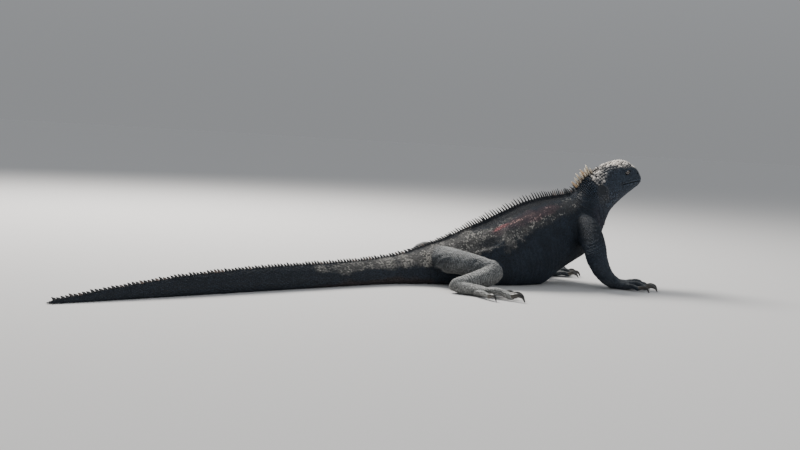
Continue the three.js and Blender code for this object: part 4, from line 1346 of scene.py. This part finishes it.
fillers["shade"] = draw.random(len(beside))
fillers["size"] = fillers["size"] * FILLER * (0.9 + 0.2 * draw.random((len(beside), 1)))
fillers = take(fillers, clear_of_openings(fillers, FILLER_LIP_CLEARANCE, FILLER_CLEARANCE))
every_root = thinned(join_roots(every_root, fillers))

SCALES = hide_material("horny scales", 1400.0, 0.00015)
GRANULE = {"Sides": 6, "Rings": 2, "Fullness": 2.2, "Keel": 0.15, "Lean": 0.35, "Sunk": 0.45}
KEELED = {"Sides": 6, "Rings": 2, "Fullness": 2.0, "Keel": 0.75, "Lean": 0.55, "Sunk": 0.45}
place = every_root["place"]
# name, from and to along the body, shape, slot of the finish
BODY_COATS = [
    ("scales_tail_end", -TAIL_LENGTH, -300, KEELED, "trunk"),
    ("scales_tail", -300, -95, KEELED, "trunk"),
    ("scales_rump", -95, 55, GRANULE, "trunk"),
    ("scales_flanks", 55, 140, GRANULE, "trunk"),
    ("scales_back", 140, 225, GRANULE, "trunk"),
    ("scales_shoulders", 225, HEAD_PLACE - 38, GRANULE, "trunk"),
    ("scales_neck", HEAD_PLACE - 38, HEAD_PLACE, GRANULE, "head"),
]
for name, low, high, shape, slot in BODY_COATS:
    grow_scales(name, take(every_root, (place >= low) & (place < high)), SCALES, slot, **shape)
BELLY_X = 40  # the legs ahead of this are forelegs
on_leg = place == LEG_PLACE
x, y, _ = every_root["at"].T
for kind, own_end in (("fore", x > BELLY_X), ("hind", x <= BELLY_X)):
    for hand, sign in (("right", -1), ("left", 1)):
        own_leg = take(every_root, on_leg & own_end & (y * sign > 0))
        grow_scales(f"scales_{kind}_{hand}", own_leg, SCALES, "limb", **GRANULE)

CONE = {"Sides": 8, "Rings": 4, "Fullness": 1.5, "Keel": 0.1, "Lean": 0.3, "Sunk": 0.5}
PLATE = {"Sides": 6, "Rings": 2, "Fullness": 3.2, "Keel": 0.0, "Lean": 0.1, "Sunk": 0.5}
HEAD_COATS = [
    ("scales_face", HEAD_PLACE, CROWN_PLACE, GRANULE),
    ("scales_crown", CROWN_PLACE, EDGE_PLACE, CONE),
    ("scales_lips_and_lids", EDGE_PLACE, math.inf, PLATE),
]
for name, low, high, shape in HEAD_COATS:
    grow_scales(name, take(every_root, (place >= low) & (place < high)), SCALES, "head", **shape)

# The crest
# One row of horny spines down the middle of the back and the tail, close together at their roots and
# flattened from side to side. It is low on the tail, taller to the shoulders, thick and cream on the nape.
TUFT_START = (FRONT_PLACES[9] + FRONT_PLACES[10]) / 2 - 2
TUFT_END = FRONT_PLACES[11] + 2
# name, from and to along the body, spacing, height at both ends, thickness, how far they lean back, and the
# half length of a spine's root as a share of the spacing
CREST = [
    ("crest_tail", -TAIL_LENGTH * 0.98, -24, (5.6, 5.6), (5.6, 7.8), 2.4, 0.3, 0.5),
    ("crest_rump", -20, 52, (4.4, 4.2), (7.4, 7.6), 2.4, 0.4, 0.5),
    ("crest_back", 56, 118, (4.4, 5.0), (8.5, 13.0), 2.4, 0.4, 0.36),
    ("crest_shoulders", 123, 262, (5.2, 5.2), (14.0, 13.5), 2.6, 0.3, 0.33),
    ("crest_neck", 267, TUFT_START - 3, (4.8, 4.6), (12.5, 11.5), 2.6, 0.1, 0.36),
    ("crest_nape", TUFT_START, TUFT_END, (5.6, 5.4), (19, 17), 5.2, -0.05, 0.48),
    ("crest_crown", TUFT_END + 3, TUFT_END + 19, (3.9, 3.9), (10, 6.5), 3.0, 0.0, 0.45),
]
SPINE = {
    "Sides": 8,
    "Rings": 5,
    "Fullness": 1.35,
    "Taper": 0.75,
    "Keel": 0.1,
    "Lean": 1.0,
    "Curve": 1.9,
    "Sunk": 0.12,
}
NAPE_SPINE = {**SPINE, "Fullness": 2.0, "Taper": 0.55, "Lean": 0.3}
SPINE_ROOT = 0.4  # how far under the hide a spine starts
SPLAY = 3.0  # how far to the side the outer spines of the nape stand


def spine_material(name, root, tip, stain):
    """Horn that is dark at the root, with some of its spines stained."""
    material, tree, shader, position = new_material(name)
    streak = noise_of(tree, position, 420.0)
    up = mapped(tree, math_of(tree, "MULTIPLY_ADD", streak, 0.5, attribute_of(tree, "rise")), 0.35, 1.15)
    color = mixed(tree, up, root, tip)
    stained = math_of(tree, "MULTIPLY_ADD", streak, 0.4, attribute_of(tree, "shade"))
    color = mixed(tree, mapped(tree, stained, 1.0, 1.25), color, stain)
    dress_shader(tree, shader, color, mapped(tree, streak, 0.0, 1.0, 0.4, 0.7), streak, 0.5, 0.0003)
    return material


# The colours at a spine's root and tip, and of a stained one
DARK_HORN = [paint(22, 24, 28), paint(52, 52, 54), paint(112, 96, 88)]
CREAM_HORN = [paint(62, 48, 38), paint(232, 218, 194), paint(196, 164, 128)]
DARK_SPINES = spine_material("dark horn spines", *DARK_HORN)
CREAM_SPINES = spine_material("cream horn spines", *CREAM_HORN)
draw = np.random.default_rng(11)
for name, start, end, pitch, height, thick, lean, breadth in CREST:
    places = [start]
    while places[-1] < end:
        share = (places[-1] - start) / (end - start)
        places.append(places[-1] + pitch[0] + (pitch[1] - pitch[0]) * share + 0.4 * (draw.random() - 0.5))
    places = np.array(places)
    share = np.clip((places - start) / (end - start), 0, 1)
    section = sections(places)
    along = unit(sections(places + 2)["top"] - sections(places - 2)["top"])
    up = unit(np.cross(along, section["side"]))
    count = len(places)
    tall = (height[0] + (height[1] - height[0]) * share) * (0.8 + 0.36 * draw.random(count))
    sideways = section["side"] * 0.1 * (draw.random((count, 1)) - 0.5)
    tilt = sideways - along * (lean + 0.08 * (draw.random((count, 1)) - 0.5))
    base = (pitch[0] + (pitch[1] - pitch[0]) * share) * breadth
    roots = {
        "at": section["top"] + up * (np.interp(places, *RIDGE)[:, None] * 0.85 - SKIN_DEPTH - SPINE_ROOT),
        "out": unit(up + tilt),
        "lie": -along,
        "size": np.column_stack([base, np.full(count, thick / 2), tall]),
        "shade": draw.random(count),
        "unwrap": np.column_stack([(places + TAIL_LENGTH) / WHOLE_LENGTH, 0 * places + 0.5]),
    }
    if name != "crest_nape":
        grow_scales(name, roots, DARK_SPINES, "trunk", **SPINE)
        continue
    # The nape's spines stand in a thick tuft, splayed to both sides
    roots = join_roots(roots, roots, roots)
    turned = np.repeat([0, -1, 1], count)[:, None]
    side, up, along = [np.tile(v, (3, 1)) for v in (section["side"], up, along)]
    roots["at"] = roots["at"] + side * turned * SPLAY - up * np.abs(turned) * 0.6
    roots["at"] = roots["at"] + along * np.abs(turned) * pitch[0] / 2
    roots["out"] = unit(roots["out"] + side * turned * 0.24 + 0.16 * (draw.random((3 * count, 3)) - 0.5))
    roots["size"] = roots["size"] * np.where(turned == 0, 1, 0.55 + 0.2 * draw.random((3 * count, 1)))
    roots["shade"] = draw.random(3 * count)
    roots["unwrap"] = roots["unwrap"] + turned * [0, 0.02]
    grow_scales(name, roots, CREAM_SPINES, "head", **NAPE_SPINE)

# The claws
# Twenty curved horn claws, black and worn smooth. They come out of the digits' ends and rest on their points.
CLAW_ROOT = CLAW_SHARE - 0.02  # of a digit's line, a little inside the digit's end
CLAW_RINGS, CLAW_SIDES = 22, 14
HORN_ROOT = paint(74, 68, 60)
HORN_BLACK = paint(19, 17, 16)


def horn_material():
    """Polished black horn, greyer and duller at the root."""
    material, tree, shader, position = new_material("black horn")
    streak = noise_of(tree, position, 500.0, 4.0)
    worn = math_of(tree, "MULTIPLY_ADD", streak, 0.35, attribute_of(tree, "rise"))
    color = mixed(tree, mapped(tree, worn, 0.2, 0.75), HORN_ROOT, HORN_BLACK)
    dress_shader(tree, shader, color, mapped(tree, streak, 0.0, 1.0, 0.18, 0.42), streak, 0.35, 0.0002)
    shader.inputs["Coat Weight"].default_value = 0.25
    shader.inputs["Coat Roughness"].default_value = 0.2
    return material


HORN = horn_material()
for name in LEGS:
    lines = [digits[name, i] for i in range(1, 6)]
    tubes = [limb_tube(line, CLAW_ROOT, 1, CLAW_RINGS, CLAW_SIDES, 0.5, -0.15) for line in lines]
    points, faces = joined_parts(tubes)
    claws = mesh_object("claws_" + name, points, faces)
    rings = (len(points) // len(tubes) - 2) // CLAW_SIDES
    one_rise = np.append(np.repeat(np.linspace(0, 1, rings), CLAW_SIDES), [0, 1])
    write_attribute(claws.data, "rise", np.tile(one_rise, len(tubes)))
    claws.data.materials.append(HORN)
    claws.data.shade_smooth()
    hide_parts(*[f"claw_{name}_{i}" for i in range(1, 6)])
    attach(claws, "root")

# The eyes
# Dark brown, wet eyeballs that sit deep between the lids, each with a round pupil under a clear bulge.
EYE = ((57, 22, 15.5), 6.4)  # place in the head's frame and radius
IRIS_HALF = 0.62  # half angle of the iris, in radians
PUPIL_HALF = 0.24
EYE_SIDES = 40
IRIS_BROWN = paint(56, 38, 25)
IRIS_DARK = paint(26, 18, 13)
PUPIL_BLACK = paint(4, 4, 4)
EYE_RIM = paint(34, 28, 26)


def eye_material():
    """A flecked iris round a black pupil, under a clear wet coat."""
    material, tree, shader, position = new_material("wet eye")
    off_axis = attribute_of(tree, "off_axis")
    fleck = noise_of(tree, position, 700.0)
    wavy = math_of(tree, "MULTIPLY_ADD", fleck, 0.06, off_axis)
    iris = mixed(tree, fleck, IRIS_BROWN, IRIS_DARK)
    color = mixed(tree, mapped(tree, off_axis, PUPIL_HALF, PUPIL_HALF + 0.04), PUPIL_BLACK, iris)
    color = mixed(tree, mapped(tree, wavy, IRIS_HALF, IRIS_HALF + 0.08), color, EYE_RIM)
    tree.links.new(color, shader.inputs["Base Color"])
    tree.links.new(mapped(tree, fleck, 0.0, 1.0, 0.08, 0.16), shader.inputs["Roughness"])
    shader.inputs["Coat Weight"].default_value = 1.0
    shader.inputs["Coat Roughness"].default_value = 0.03
    return material


WET_EYE = eye_material()
for side, hand in ((-1, "right"), (1, "left")):
    (x, y, z), radius = EYE
    centre = head_point(x, side * y, z)
    axis = unit(HEAD_AHEAD * 0.22 + HEAD_UP * 0.02 + np.array([0, side, 0]))
    first = unit(np.cross(axis, HEAD_UP))
    second = np.cross(axis, first)
    tilt = np.linspace(0, math.pi, 29)[1:-1]
    bulge = radius * (1 + 0.05 * np.exp(-((tilt / 0.5) ** 2)))
    turn = np.linspace(2 * math.pi, 0, EYE_SIDES, endpoint=False)
    ring = np.cos(turn)[:, None] * first + np.sin(turn)[:, None] * second
    out, ahead = [(bulge * share)[:, None, None] for share in (np.sin(tilt), np.cos(tilt))]
    rings = centre + out * ring[None] + ahead * axis
    points, faces = closed_tube(rings, centre + axis * radius * 1.05, centre - axis * radius)
    eyeball = mesh_object("eyeball_" + hand, points, faces)
    write_attribute(eyeball.data, "off_axis", np.append(np.repeat(tilt, EYE_SIDES), [0, math.pi]))
    eyeball.data.materials.append(WET_EYE)
    eyeball.data.shade_smooth()
    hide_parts("eye_" + hand)
    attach(eyeball, "root")

# Floor, light and camera
# A plain pale floor under soft studio light. The camera stands on the animal's right, level with its tail,
# and looks forward of square. The sky is as pale at the horizon as the floor there, so that no line shows.
FLOOR_HALF = 90.0
FLOOR_PAINT = (0.62, 0.61, 0.6, 1)
ZENITH = (0.455, 0.475, 0.5, 1)
HORIZON = (0.274, 0.281, 0.291, 1)  # the floor's paint in the light of the whole sky
floor_corners = [(x * FLOOR_HALF, y * FLOOR_HALF, 0) for x, y in ((-1, -1), (1, -1), (1, 1), (-1, 1))]
floor_mesh = bpy.data.meshes.new("floor")
floor_mesh.from_pydata(floor_corners, [], [(0, 1, 2, 3)])
floor = new_object("floor", floor_mesh)
floor_paint, _, shader, _ = new_material("pale floor")
for key, value in (("Base Color", FLOOR_PAINT), ("Roughness", 0.95), ("Specular IOR Level", 0.1)):
    shader.inputs[key].default_value = value
floor.data.materials.append(floor_paint)

world = bpy.data.worlds.new("studio")
world.use_nodes = True
sky = world.node_tree
ray_height = axes_of(sky, add(sky, "ShaderNodeTexCoord").outputs["Generated"])["Z"]
up_share = mapped(sky, ray_height, 0.0, 0.5, kind="SMOOTHSTEP")
sky.links.new(mixed(sky, up_share, HORIZON, ZENITH), sky.nodes["Background"].inputs["Color"])
bpy.context.scene.world = world
# name, place, the point it is turned to, size, power in watts, colour
LIGHTS = [
    ("key", (-0.5, 1.5, 1.75), (0, 0, 0.05), 1.0, 105, (1, 0.97, 0.93)),
    ("fill", (0.5, -2.2, 1.1), (0, 0, 0.08), 1.4, 12, (0.9, 0.95, 1)),
]
for name, place, target, size, power, color in LIGHTS:
    lamp = bpy.data.lights.new(name, "AREA")
    lamp.shape = "SQUARE"
    lamp.size = size
    lamp.energy = power
    lamp.color = color
    light = new_object(name, lamp)
    light.location = place
    light.rotation_euler = (Vector(target) - Vector(place)).to_track_quat("-Z", "Y").to_euler()

CAMERA_PLACE = (-0.88193, -1.50084, 0.2217)
CAMERA_TURN = math.radians(-25)
CAMERA_DIP = math.radians(4.555)
CAMERA_ROLL = math.radians(3.434)
lens = bpy.data.cameras.new("camera")
lens.lens = 48.0
lens.sensor_width = 36.0
camera = new_object("camera", lens)
tilt = Matrix.Rotation(math.pi / 2 - CAMERA_DIP, 4, "X") @ Matrix.Rotation(CAMERA_ROLL, 4, "Z")
camera.matrix_world = Matrix.Translation(CAMERA_PLACE) @ Matrix.Rotation(CAMERA_TURN, 4, "Z") @ tilt
bpy.context.scene.camera = camera
